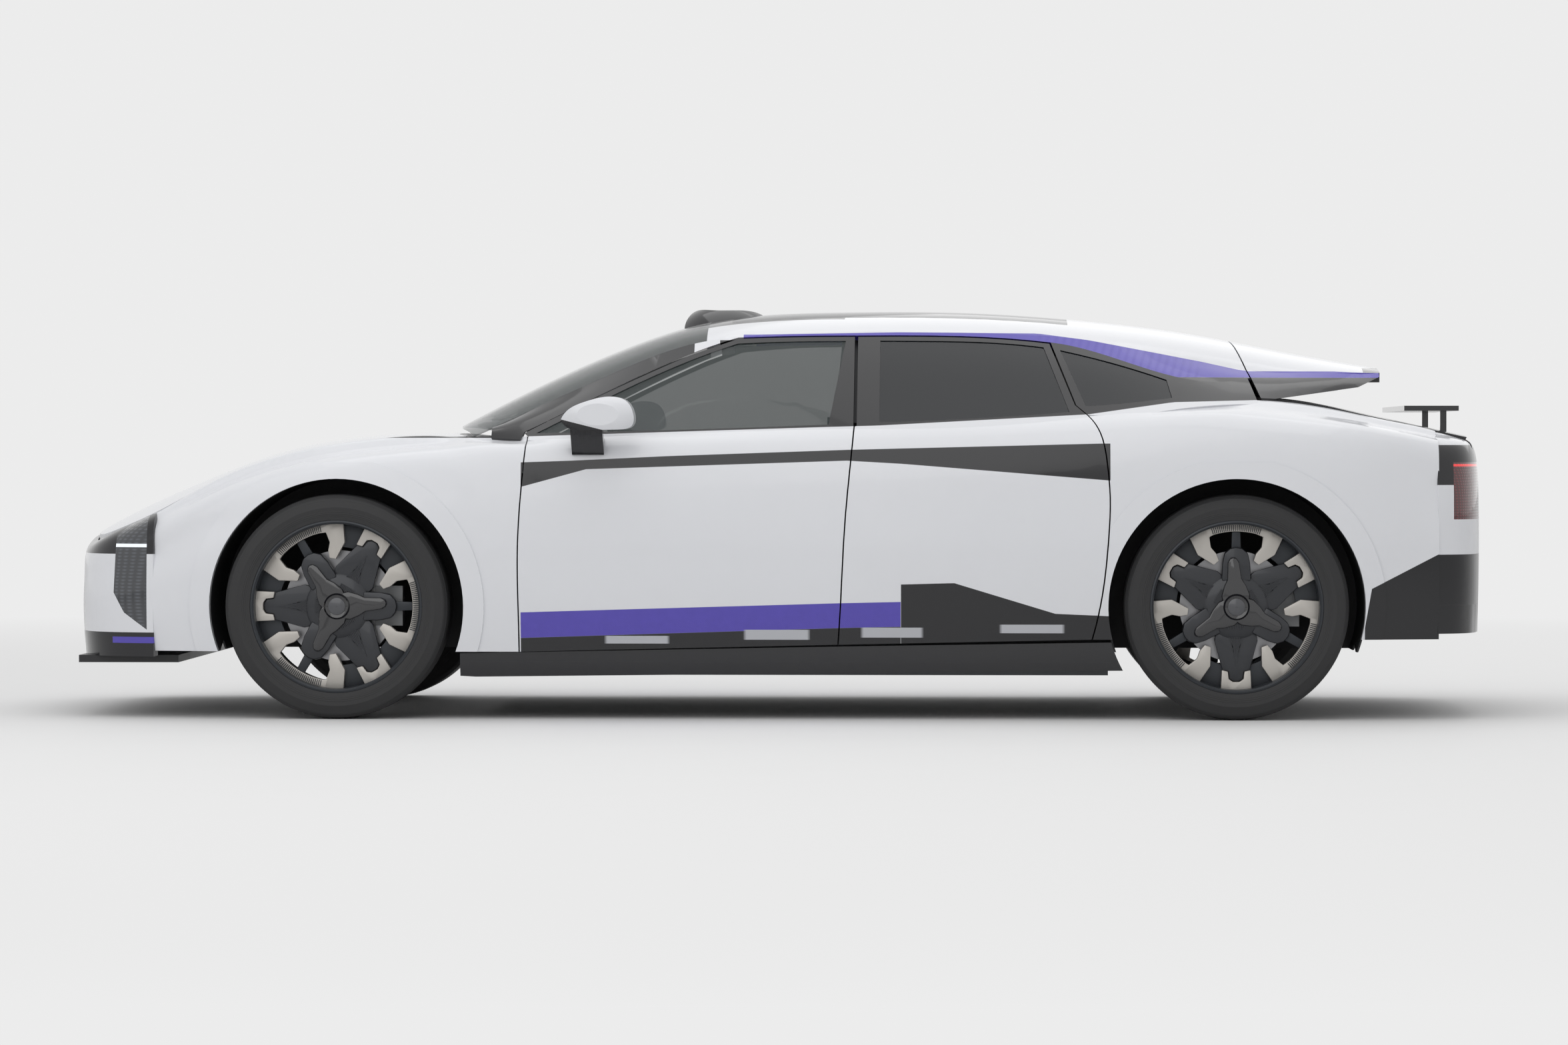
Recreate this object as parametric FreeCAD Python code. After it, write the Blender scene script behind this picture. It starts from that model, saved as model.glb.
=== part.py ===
import FreeCAD, Part
import math
import os
from FreeCAD import Placement, Rotation, Vector

# Electric sedan, millimetres. +Z up, nose towards -X, left side towards -Y.
# The origin is on the floor, midway along and across the car.

doc = FreeCAD.newDocument("sedan")
sheet = doc.addObject("Spreadsheet::Sheet", "Dimensions")

DIMENSIONS = [
    ("overall_length", 5036), ("overall_width", 2018), ("roof_height", 1445),
    ("wheelbase", 3150), ("front_overhang", 985), ("track_width", 1710),
    ("tyre_radius", 394), ("tyre_width", 255), ("tyre_wall", 88), ("tread_thickness", 14),
    ("rim_radius", 303), ("rim_wall", 12), ("rim_width", 236), ("wheel_face_depth", 42),
    ("hub_radius", 82), ("hub_bore", 30.05), ("spindle_radius", 30),
    ("disc_radius", 195), ("disc_thickness", 30),
    ("arch_gap", 54), ("arch_band", 72), ("arch_lift", 6), ("liner_thickness", 6),
    ("kingpin_offset", 30),
    ("panel_gap", 5), ("seat_gap", 0.3), ("fender_thickness", 34), ("hood_thickness", 32),
    ("door_thickness", 104), ("door_flange", 20), ("door_step", 28), ("frame_gap", 12),
    ("pillar_thickness", 40), ("roof_thickness", 34), ("deck_thickness", 28),
    ("glass_thickness", 6), ("glass_inset", 3), ("bumper_thickness", 36),
    ("ground_clearance", 145), ("floor_height", 285), ("battery_height", 118), ("sill_depth", 120),
    ("seat_width", 520), ("seat_base_height", 440), ("seat_thickness", 120),
    ("steering_wheel_radius", 180), ("steering_wheel_grip", 15),
]
for row, (alias, value) in enumerate(DIMENSIONS, start=1):
    sheet.set("A%d" % row, alias)
    sheet.set("B%d" % row, str(value))
    sheet.setAlias("B%d" % row, alias)
doc.recompute()


def dim(alias):
    return float(sheet.get(alias))


# ---------------------------------------------------------------- body scaling
# The body curves below are drawn for this reference car, and are stretched to the sheet's sizes.
REF_HALF_LENGTH = 2518.0
REF_FRONT_AXLE = -1518.0
REF_REAR_AXLE = 1632.0
REF_HALF_WIDTH = 1009.0
REF_ROOF = 1445.0

HALF_LENGTH = dim("overall_length") / 2
FRONT_AXLE = dim("front_overhang") - HALF_LENGTH
REAR_AXLE = FRONT_AXLE + dim("wheelbase")
WIDTH_SCALE = dim("overall_width") / 2 / REF_HALF_WIDTH
HEIGHT_SCALE = dim("roof_height") / REF_ROOF
GAP = dim("panel_gap")
SEAT = dim("seat_gap")
ARCH_RADIUS = dim("tyre_radius") + dim("arch_gap")
WHEEL_Y = dim("track_width") / 2


def bx(x):
    """A reference x stretched so that the axles and both ends are where the sheet puts them."""
    ref = [-REF_HALF_LENGTH, REF_FRONT_AXLE, REF_REAR_AXLE, REF_HALF_LENGTH]
    real = [-HALF_LENGTH, FRONT_AXLE, REAR_AXLE, HALF_LENGTH]
    i = 0 if x < ref[1] else (1 if x < ref[2] else 2)
    return real[i] + (x - ref[i]) * (real[i + 1] - real[i]) / (ref[i + 1] - ref[i])


def by(y):
    return y * WIDTH_SCALE


def bz(z):
    return z * HEIGHT_SCALE


def bends(xs, vs):
    """Second derivatives of the natural cubic through the knots."""
    n = len(xs)
    diag = [1.0] * n
    rest = [0.0] * n
    for i in range(1, n - 1):
        left, right = xs[i] - xs[i - 1], xs[i + 1] - xs[i]
        fall = left / diag[i - 1] * (0.0 if i == 1 else left)
        rise = 6 * ((vs[i + 1] - vs[i]) / right - (vs[i] - vs[i - 1]) / left)
        diag[i] = 2 * (left + right) - fall
        rest[i] = rise - (0.0 if i == 1 else left / diag[i - 1] * rest[i - 1])
    bend = [0.0] * n
    for i in range(n - 2, 0, -1):
        bend[i] = (rest[i] - (xs[i + 1] - xs[i]) * bend[i + 1]) / diag[i]
    return bend


def spline(*knots):
    """A natural cubic through (x, value) knots, straight beyond its ends."""
    xs = [float(k[0]) for k in knots]
    vs = [float(k[1]) for k in knots]
    bend = bends(xs, vs)
    last = len(xs) - 2

    def value(x):
        inside = min(max(x, xs[0]), xs[-1])
        i = max(k for k in range(last + 1) if xs[k] <= inside)
        step = xs[i + 1] - xs[i]
        u, w = xs[i + 1] - inside, inside - xs[i]
        a = vs[i] / step - bend[i] * step / 6
        b = vs[i + 1] / step - bend[i + 1] * step / 6
        level = bend[i] * u**3 / (6 * step) + bend[i + 1] * w**3 / (6 * step) + a * u + b * w
        slope = (bend[i + 1] * w**2 - bend[i] * u**2) / (2 * step) + b - a
        return level + (x - inside) * slope

    return value


# ---------------------------------------------------------------- feature lines of the body
FLANK_BOTTOM = 225.0
# Upper edge of the lower body: hood shut line, then belt line, then the quarter's inner edge.
edge_y = spline((-2202, 815), (-1895, 752), (-1518, 728), (-1200, 742), (-1030, 792), (-854, 862),
                (-500, 884), (200, 888), (1117, 880), (1412, 836), (1714, 752), (2055, 700), (2333, 680))
edge_z = spline((-2202, 712), (-1895, 866), (-1518, 962), (-1200, 988), (-854, 990), (200, 1022),
                (1117, 1066), (1412, 1108), (1640, 1119), (1876, 1104), (2055, 1068), (2333, 1006))
crease_y = spline((-2202, 885), (-1895, 932), (-1518, 944), (-854, 936), (200, 930), (1117, 930),
                  (1632, 936), (2055, 915), (2333, 876))
crease_z = spline((-2202, 636), (-1895, 790), (-1518, 884), (-854, 950), (200, 988), (1117, 1030),
                  (1500, 1044), (1876, 1026), (2055, 1008), (2333, 955))
waist_y = spline((-2202, 908), (-1950, 962), (-1518, 990), (-854, 986), (200, 990), (1117, 1000),
                 (1632, 1007), (2055, 984), (2333, 918))
# Gutter: where the side glass plane meets windscreen and roof.
gutter_y = spline((-1057, 748), (-891, 722), (-510, 672), (-286, 646), (0, 634), (334, 628),
                  (760, 620), (1137, 603), (1453, 577), (1689, 557), (2147, 520))
gutter_z = spline((-1057, 992), (-891, 1066), (-510, 1238), (-286, 1318), (-103, 1345), (88, 1358),
                  (334, 1361), (760, 1357), (1122, 1333), (1305, 1304), (1521, 1256), (1700, 1225),
                  (1900, 1217), (2147, 1217))
crown_z = spline((-1230, 980), (-1057, 1074), (-891, 1160), (-510, 1328), (-336, 1386), (-216, 1413),
                 (-41, 1434), (242, 1444), (520, 1445), (762, 1438), (1136, 1410), (1544, 1357),
                 (1832, 1300), (2182, 1236))
hood_y = spline((-2518, 660), (-2400, 742), (-2202, 815), (-1895, 752), (-1518, 728), (-1200, 742),
                (-1030, 792))
hood_edge_z = spline((-2518, 560), (-2400, 622), (-2202, 712), (-1895, 866), (-1518, 962), (-1200, 988),
                     (-1030, 990))
hood_crown_z = spline((-2518, 618), (-2460, 652), (-2280, 747), (-2079, 833), (-1878, 908),
                      (-1707, 958), (-1518, 988), (-1300, 1003), (-1144, 1003), (-1000, 998))


def point(x, y, z):
    return Vector(bx(x), by(y), bz(z))



def evenly(controls, count):
    """Points evenly spaced along the smooth curve through (y, z) control points."""
    run = [0.0]
    for (y0, z0), (y1, z1) in zip(controls, controls[1:]):
        run.append(run[-1] + math.hypot(y1 - y0, z1 - z0))
    along_y = spline(*[(r, c[0]) for r, c in zip(run, controls)])
    along_z = spline(*[(r, c[1]) for r, c in zip(run, controls)])
    stops = [run[-1] * i / (count - 1) for i in range(count)]
    return [(along_y(r), along_z(r)) for r in stops]


def flank_row(x):
    """One section of the left lower body, from the bottom of the flank up to its inner edge."""
    waist, crease, top = waist_y(x), crease_z(x), edge_z(x)
    rise = crease - FLANK_BOTTOM
    controls = [(waist - 30, FLANK_BOTTOM), (waist - 10, FLANK_BOTTOM + 0.22 * rise),
                (waist, FLANK_BOTTOM + 0.46 * rise), (waist - 6, FLANK_BOTTOM + 0.7 * rise),
                (waist - 22, FLANK_BOTTOM + 0.88 * rise), (crease_y(x), crease),
                ((crease_y(x) + edge_y(x)) / 2, (crease + top) / 2 + 4), (edge_y(x), top)]
    return [point(x, -y, z) for y, z in evenly(controls, 13)]


def side_glass_row(x):
    """One section of the left greenhouse side, from just under the belt to the gutter."""
    controls = []
    for share in (-0.14, 0.25, 0.65, 1.0):
        bulge = 14 * math.sin(math.pi * min(max(share, 0), 1))
        controls.append((edge_y(x) + share * (gutter_y(x) - edge_y(x)) + bulge,
                         edge_z(x) + share * (gutter_z(x) - edge_z(x)) + 0.6 * bulge))
    return [point(x, -y, z) for y, z in evenly(controls, 6)]


def crown_row(x, half_width, edge, crown, fullness, count=15):
    """A section from the left edge over the crown to the right edge."""
    controls = []
    for share in (-1, -0.97, -0.9, -0.75, -0.5, -0.25, 0, 0.25, 0.5, 0.75, 0.9, 0.97, 1):
        drop = (1 - fullness) * share**2 + fullness * abs(share) ** 7
        controls.append((share * half_width, crown - (crown - edge) * drop))
    return [point(x, y, z) for y, z in evenly(controls, count)]


def roof_row(x):
    return crown_row(x, gutter_y(x), gutter_z(x), crown_z(x), 0.5)


def hood_row(x):
    return crown_row(x, hood_y(x), hood_edge_z(x), hood_crown_z(x), 0.35)


# ---------------------------------------------------------------- solids from grids of points
def grid(row, first, last, pitch=150.0):
    count = max(4, int(round((last - first) / pitch)) + 1)
    return [row(first + (last - first) * i / (count - 1)) for i in range(count)]


def pushed(points, depth, inward):
    """The grid moved by depth along its surface normals, towards the inward point."""
    n, m = len(points), len(points[0])
    moved = []
    for i in range(n):
        line = []
        for j in range(m):
            along = points[min(i + 1, n - 1)][j] - points[max(i - 1, 0)][j]
            across = points[i][min(j + 1, m - 1)] - points[i][max(j - 1, 0)]
            normal = along.cross(across).normalize()
            if normal.dot(inward - points[i][j]) < 0:
                normal = normal * -1
            line.append(points[i][j] + normal * depth)
        moved.append(line)
    return moved


def patch(points):
    surface = Part.BSplineSurface()
    surface.interpolate(points)
    return surface


def slab(points, near, far, inward=Vector(100, 0, 500)):
    """The solid between two depths under a grid of points."""
    outer = patch(pushed(points, near, inward))
    inner = patch(pushed(points, far, inward))
    (u0, u1, v0, v1) = outer.bounds()
    (s0, s1, t0, t1) = inner.bounds()
    pairs = [
        (outer.uIso(u0), inner.uIso(s0)), (outer.uIso(u1), inner.uIso(s1)),
        (outer.vIso(v0), inner.vIso(t0)), (outer.vIso(v1), inner.vIso(t1)),
    ]
    faces = [outer.toShape(), inner.toShape()]
    faces += [Part.makeRuledSurface(a.toShape(), b.toShape()) for a, b in pairs]
    shell = Part.makeShell(faces)
    shell.sewShape()
    solid = Part.makeSolid(shell)
    if solid.Volume < 0:
        solid.reverse()
    return solid


# ---------------------------------------------------------------- prisms
def run_of(points, shift=0.0, lift=0.0):
    return [Vector(bx(x) + shift, 0, bz(z) + lift) for x, z in points]


def outline_face(runs):
    """A face bounded by runs of points: a corner, a line or a curve each, joined up by lines."""
    edges = []
    for i, run in enumerate(runs):
        if len(run) == 2:
            edges.append(Part.makeLine(run[0], run[1]))
        elif len(run) > 2:
            curve = Part.BSplineCurve()
            curve.interpolate(run)
            edges.append(curve.toShape())
        start = runs[(i + 1) % len(runs)][0]
        if (start - run[-1]).Length > 1e-6:
            edges.append(Part.makeLine(run[-1], start))
    return Part.Face(Part.Wire(edges))


def side_prism(runs, low=-1400.0, high=0.0):
    """A prism along Y over a side-view outline, from y = low to y = high."""
    face = outline_face(runs)
    face.translate(Vector(0, low, 0))
    return face.extrude(Vector(0, high - low, 0))


def side_polygon(corners, low=-1400.0, high=0.0):
    points = run_of(corners)
    runs = [[points[i], points[(i + 1) % len(points)]] for i in range(len(points))]
    return side_prism(runs, low, high)


def plan_prism(points, low, high):
    """A prism along Z, symmetric about the middle, over a left-side plan outline from front to rear."""
    left = [Vector(bx(x), by(-y), low) for x, y in points]
    right = [Vector(v.x, -v.y, low) for v in left]
    ends = [Part.makeLine(right[-1], left[-1])]
    if points[0][1]:
        runs = [left, right]
        ends.append(Part.makeLine(left[0], right[0]))
    else:
        runs = [left[::-1] + right[1:]]
    edges = list(ends)
    for run in runs:
        curve = Part.BSplineCurve()
        curve.interpolate(run)
        edges.append(curve.toShape())
    face = Part.Face(Part.Wire(Part.__sortEdges__(edges)))
    return face.extrude(Vector(0, 0, high - low))


def mirrored(shape):
    return shape.mirror(Vector(0, 0, 0), Vector(0, 1, 0))


def across(x, radius, y0, y1):
    """A cylinder about a wheel's axis."""
    return Part.makeCylinder(radius, y1 - y0, Vector(x, y0, dim("tyre_radius")), Vector(0, 1, 0))


def block(x0, x1, y0, y1, z0, z1):
    return Part.makeBox(x1 - x0, y1 - y0, z1 - z0, Vector(x0, y0, z0))


def biggest(shape, count=1):
    return sorted(shape.Solids, key=lambda s: -s.Volume)[:count]


def one(shape):
    return biggest(shape)[0]


def both(shape):
    return Part.makeCompound([shape, mirrored(shape)])


built = {}


def keep(label, shape):
    """A sub-part whose curved surfaces are worked out above, as a plain feature of the document."""
    feature = doc.addObject("Part::Feature", label)
    feature.Shape = shape
    feature.Label = label
    built[label] = feature
    return shape


# ---------------------------------------------------------------- shut lines and openings in side view
DOOR_FRONT = [(-852, 990), (-862, 880), (-872, 760), (-880, 600), (-879, 420), (-876, 236)]
DOOR_SPLIT = [(296, 1025), (283, 880), (268, 720), (258, 560), (250, 400), (241, 262)]
DOOR_REAR = [(1112, 1066), (1158, 1000), (1180, 900), (1190, 784), (1184, 620), (1164, 440), (1128, 281)]
SPLIT_TOP = (300, 1349)
RAIL_FRONT = [(-120, 1342), (-292, 1282), (-530, 1174), (-866, 1006)]
RAIL_TOP = [(-120, 1342), (120, 1348), (300, 1349)]
RAIL_REAR = [(300, 1349), (560, 1349), (760, 1343), (985, 1324)]
DOOR_CORNER = [(985, 1324), (1072, 1100), (1112, 1066)]
QUARTER_TOP = [(985, 1324), (1123, 1296), (1400, 1208), (1700, 1200)]
FRONT_WINDOW = [
    [(-822, 1002), (-530, 1150), (-292, 1258), (-120, 1320)],
    [(-120, 1320), (120, 1328), (262, 1329)],
    [(262, 1329), (206, 1032)],
    [(206, 1032), (-300, 1014), (-822, 1002)],
]
REAR_WINDOW = [
    [(384, 1040), (384, 1330)],
    [(384, 1330), (560, 1329), (760, 1324), (962, 1306)],
    [(962, 1306), (1050, 1076)],
    [(1050, 1076), (800, 1058), (384, 1040)],
]
QUARTER_WINDOW = [
    [(1108, 1096), (1020, 1296)],
    [(1020, 1296), (1123, 1272), (1394, 1190)],
    [(1394, 1190), (1411, 1126)],
    [(1411, 1126), (1260, 1108), (1108, 1096)],
]
TAILGATE_CUT = [(1600, 1470), (1641, 1330), (1725, 1118), (1760, 1030)]
HOOD_PLAN = [(-2459, 0), (-2455, 220), (-2446, 420), (-2422, 600), (-2372, 722), (-2290, 786),
             (-2202, 813), (-2040, 782), (-1895, 750), (-1700, 730), (-1518, 726), (-1360, 731),
             (-1200, 740), (-1080, 764)]


def front_door_outline():
    gap, post = GAP / 2, dim("frame_gap") / 2
    return [
        run_of(DOOR_FRONT, gap),
        run_of(DOOR_SPLIT[::-1], -gap),
        run_of([(299, 1027)], -post),
        run_of([SPLIT_TOP], -post, -GAP) + run_of(RAIL_TOP[1::-1], 0, -GAP),
        run_of(RAIL_FRONT[1:], 0, -GAP),
    ]


def rear_door_outline():
    gap, post = GAP / 2, dim("frame_gap") / 2
    return [
        run_of(DOOR_SPLIT, gap),
        run_of(DOOR_REAR[::-1], -gap),
        run_of([DOOR_CORNER[1]], -gap),
        run_of([RAIL_REAR[-1]], -gap, -GAP) + run_of(RAIL_REAR[2:0:-1], 0, -GAP)
        + run_of([SPLIT_TOP], post, -GAP),
        run_of([(299, 1027)], post),
    ]


def core_outline(front, rear):
    """The door's thick inner box: its outline brought in from the shut lines."""
    step = dim("door_step")
    return [
        run_of([(front[0][0], 1120)], step),
        run_of(front, step),
        run_of(rear[::-1], -step),
        run_of([(rear[0][0], 1120)], -step),
    ]


def rail_outline():
    """The greenhouse side above the doors, from the screen pillar's foot to behind the tailgate cut."""
    return [
        run_of([(-1100, 970), (-880, 970)]),
        run_of(RAIL_FRONT[::-1]),
        run_of(RAIL_TOP),
        run_of(RAIL_REAR),
        run_of(QUARTER_TOP),
        run_of([(1760, 1200)]),
        run_of([(1760, 1500)]),
        run_of([(-1100, 1500)]),
    ]


# ---------------------------------------------------------------- body surfaces
flank = grid(flank_row, -2202, 2333)
greenhouse = grid(side_glass_row, -985, 2147)
roof = grid(roof_row, -1225, 2160, 130)
bonnet = grid(hood_row, -2500, -1040, 110)

NOSE_PLAN = [(-2180, 912), (-2300, 872), (-2400, 795), (-2458, 680), (-2493, 480), (-2512, 240), (-2518, 0)]
NOSE_TOP = [(-2180, 806, 722), (-2275, 790, 680), (-2360, 735, 645), (-2414, 630, 622),
            (-2446, 440, 628), (-2458, 220, 642), (-2461, 0, 648)]
TAIL_PLAN = [(2325, 916), (2410, 862), (2462, 760), (2494, 560), (2512, 290), (2518, 0)]
TAIL_TOP = [(2325, 682, 1006), (2392, 660, 998), (2434, 580, 991), (2454, 420, 986),
            (2464, 220, 984), (2467, 0, 984)]


def wrap(track, count):
    """Evenly spaced stations from the left end of a wrapped panel to the right end."""
    full = [(p[0], -p[1]) + tuple(p[2:]) for p in track]
    full += [(p[0], p[1]) + tuple(p[2:]) for p in reversed(track[:-1])]
    run = [0.0]
    for a, b in zip(full, full[1:]):
        run.append(run[-1] + math.hypot(a[0] - b[0], a[1] - b[1]))
    curves = [spline(*[(r, p[k]) for r, p in zip(run, full)]) for k in range(len(full[0]))]
    stops = [run[-1] * i / (count - 1) for i in range(count)]
    return [tuple(c(r) for c in curves) for r in stops]


def wrapped_grid(plan, top, low, count=25):
    """Sections of the nose or tail panel, each up its face and over to the inner edge."""
    rows = []
    for (px, py), (tx, ty, tz) in zip(wrap(plan, count), wrap(top, count)):
        length = math.hypot(tx - px, ty - py)
        controls = [(14, low), (4, low + 0.22 * (tz - low)), (0, low + 0.5 * (tz - low)),
                    (6, low + 0.74 * (tz - low)), (0.3 * length, low + 0.93 * (tz - low)),
                    (0.65 * length, tz - 0.02 * (tz - low)), (length, tz)]
        rows.append([point(px + (tx - px) * o / length, py + (ty - py) * o / length, z)
                     for o, z in evenly(controls, 10)])
    return rows


nose = wrapped_grid(NOSE_PLAN, NOSE_TOP, 215)
tail = wrapped_grid(TAIL_PLAN, TAIL_TOP, 300)


def deck_row(x):
    """A section of the tailgate's lower face, between the two rear shoulders."""
    edge = edge_z(x) + 6
    return crown_row(x, edge_y(x) - 4, edge, edge + 12, 0.4, 9)


deck = grid(deck_row, 1640, 2462, 120)


# ---------------------------------------------------------------- outer panels
def arch_hole(axle):
    return across(axle, ARCH_RADIUS, -1400, 0)


def arch_lip(axle):
    """The raised band of the fender around a wheel opening."""
    band = across(axle, ARCH_RADIUS + dim("arch_band"), -1400, -600)
    shell = slab(flank, -dim("arch_lift"), dim("fender_thickness") / 2).common(band)
    return shell.common(block(-3000, 3000, -1400, 0, bz(236), bz(900)))


HOOD_HOLE = plan_prism(HOOD_PLAN, 300, 1300)
hood_trim = plan_prism([(x + (GAP if y < 700 else 0), max(y - GAP, 0)) for x, y in HOOD_PLAN], 300, 1300)
TAIL_PLAN_LINE = [(1600, 790), (1714, 753), (1880, 722), (2055, 701), (2333, 681), (2470, 668)]
TAIL_HOLE = plan_prism(TAIL_PLAN_LINE, 900, 1300)
TAIL_TRIM = plan_prism([(x, y - GAP) for x, y in TAIL_PLAN_LINE], 900, 1500)
nose_fill = slab(nose, 0, dim("bumper_thickness"), Vector(-1500, 0, 400))
tail_fill = slab(tail, 0, dim("bumper_thickness"), Vector(1500, 0, 500))
fender_skin = slab(flank, 0, dim("fender_thickness"))
NOSE_LINE = -2190


def build_fenders():
    region = side_prism([
        run_of([(NOSE_LINE, 1100)]),
        run_of([(NOSE_LINE, 236)]),
        run_of(DOOR_FRONT[::-1], -GAP / 2),
        run_of([(-852, 1100)], -GAP / 2),
    ])
    panel = fender_skin.fuse(arch_lip(FRONT_AXLE)).common(region)
    return one(panel.cut(arch_hole(FRONT_AXLE)).cut(HOOD_HOLE))


def build_quarters():
    lower = side_prism([
        run_of(DOOR_REAR, GAP / 2),
        run_of([(2328, 281)]),
        run_of([(2328, 1200)]),
        run_of([(1112, 1200)], GAP / 2),
    ])
    upper = side_prism([
        run_of([(985, 1400)], GAP / 2),
        run_of([DOOR_CORNER[0]], GAP / 2),
        run_of([DOOR_CORNER[1]], GAP / 2),
        run_of([DOOR_CORNER[2]], GAP / 2),
        run_of([(1400, 1040)]),
        run_of([(1757, 1040)], -3 * GAP),
        run_of([(1725, 1118)], -3 * GAP),
        run_of([(1641, 1330)], -GAP),
        run_of([(1641, 1400)], -GAP),
    ]).cut(side_prism(rail_outline()))
    window = side_prism([run_of(r) for r in QUARTER_WINDOW])
    body = fender_skin.fuse(arch_lip(REAR_AXLE)).common(lower).cut(arch_hole(REAR_AXLE))
    side = slab(greenhouse, 0, dim("pillar_thickness")).common(upper).cut(window)
    panel = body.cut(TAIL_HOLE.common(block(bx(1700), 3000, -1400, 1400, 0, 1600))).fuse(side)
    glass = slab(greenhouse, dim("glass_inset"), dim("glass_inset") + dim("glass_thickness")).common(window)
    return one(panel), one(glass.cut(panel))


def build_door(outline, core_shape, window):
    flange = dim("door_flange")
    region = side_prism(outline)
    core_region = side_prism(core_shape).common(region)
    hole = side_prism([run_of(r) for r in window])
    frame = slab(greenhouse, 0, flange).common(region).cut(hole)
    lower = slab(flank, 0, flange).common(region)
    core = slab(flank, 0, dim("door_thickness")).common(core_region)
    door = lower.fuse(core).fuse(frame)
    glass = slab(greenhouse, dim("glass_inset"), dim("glass_inset") + dim("glass_thickness")).common(hole)
    return one(door), one(glass.cut(door))


WINDSCREEN_FOOT = [(-1138, 0), (-1128, 300), (-1096, 600), (-1046, 760), (-990, 900)]
HEADER = -232


def roof_region(front, rear, half=900.0):
    return block(bx(front), bx(rear), -half, half, 300, 2000)


def build_windscreen():
    skin = slab(roof, 0, dim("glass_thickness"))
    behind = plan_prism(WINDSCREEN_FOOT, 300, 1600).fuse(roof_region(-1000, HEADER))
    return one(skin.common(behind))


GLASS_ROOF = (-150, 1050, 470)


def build_roof(windscreen):
    skin = slab(roof, 0, dim("roof_thickness")).common(roof_region(HEADER, 1700))
    pane = block(bx(GLASS_ROOF[0]), bx(GLASS_ROOF[1]), by(-GLASS_ROOF[2]), by(GLASS_ROOF[2]), 900, 2000)
    side = side_prism(rail_outline())
    rail = slab(greenhouse, 0, dim("pillar_thickness")).common(side)
    shape = skin.cut(pane).fuse([rail, mirrored(rail)])
    cut = side_prism([run_of(TAILGATE_CUT[:2], -GAP / 2), run_of(TAILGATE_CUT[2:], -GAP / 2),
                      run_of([(2600, 1030)]), run_of([(2600, 1470)])], -1400, 1400)
    doorway = side_prism([
        run_of(RAIL_FRONT[::-1], 0, -1),
        run_of(RAIL_TOP[1:], 0, -1),
        run_of(RAIL_REAR[1:], 0, -1),
        run_of([(DOOR_CORNER[1][0], 1101)]),
        run_of([(1072, 900)]),
        run_of([(-866, 900)]),
    ]).common(slab(greenhouse, -10, dim("door_flange") + 2 * GAP))
    lip = slab(roof, dim("roof_thickness") + SEAT, dim("roof_thickness") + 9).common(roof_region(1590, 1668, 440))
    web = slab(roof, dim("roof_thickness") - 6, dim("roof_thickness") + 9).common(roof_region(1590, 1628, 440))
    shape = shape.cut(cut).cut(windscreen).cut(doorway).cut(mirrored(doorway)).fuse(lip).fuse(web)
    glass = slab(roof, 0, dim("glass_thickness") + 2).common(pane)
    return shape, one(glass)


def build_tailgate():
    behind = side_prism([run_of(TAILGATE_CUT[:2], GAP / 2), run_of(TAILGATE_CUT[2:], GAP / 2),
                         run_of([(1800, 850)]), run_of([(2360, 850)]), run_of([(2456, 1010)]),
                         run_of([(2600, 1470)])], -1400, 1400)
    spoiler = slab(roof, 0, dim("roof_thickness")).common(roof_region(1600, 2150))
    skirt = side_polygon([(1600, 1100), (1700, 1100), (1757, 1120), (2070, 1165), (2200, 1228),
                          (2200, 1500), (1600, 1500)])
    cheek = slab(greenhouse, 0, dim("pillar_thickness")).common(skirt).common(TAIL_TRIM)
    plate = slab(deck, 0, dim("deck_thickness")).common(TAIL_TRIM)
    pane = block(bx(1800), bx(2310), by(-540), by(540), 900, 1205)
    spoiler = one(spoiler.common(behind))
    shape = plate.cut(pane).fuse(cheek).fuse(mirrored(cheek)).common(behind).cut(spoiler)
    window = slab(deck, 2, 8).common(pane)
    return one(shape), one(window), spoiler


# ---------------------------------------------------------------- everything else, built up from blocks
TYRE_Z = dim("tyre_radius")
FLOOR_TOP = dim("floor_height")
FLOOR_LOW = FLOOR_TOP - 24
WELL_Y = by(505)
WELL_RADIUS = ARCH_RADIUS + dim("liner_thickness")


def wells_out(shape, radius=WELL_RADIUS):
    """The shape without the room of the four wheel wells."""
    for axle in (FRONT_AXLE, REAR_AXLE):
        well = across(axle, radius, -1400, -WELL_Y + 6)
        shape = shape.cut(well).cut(mirrored(well))
    return shape


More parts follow.
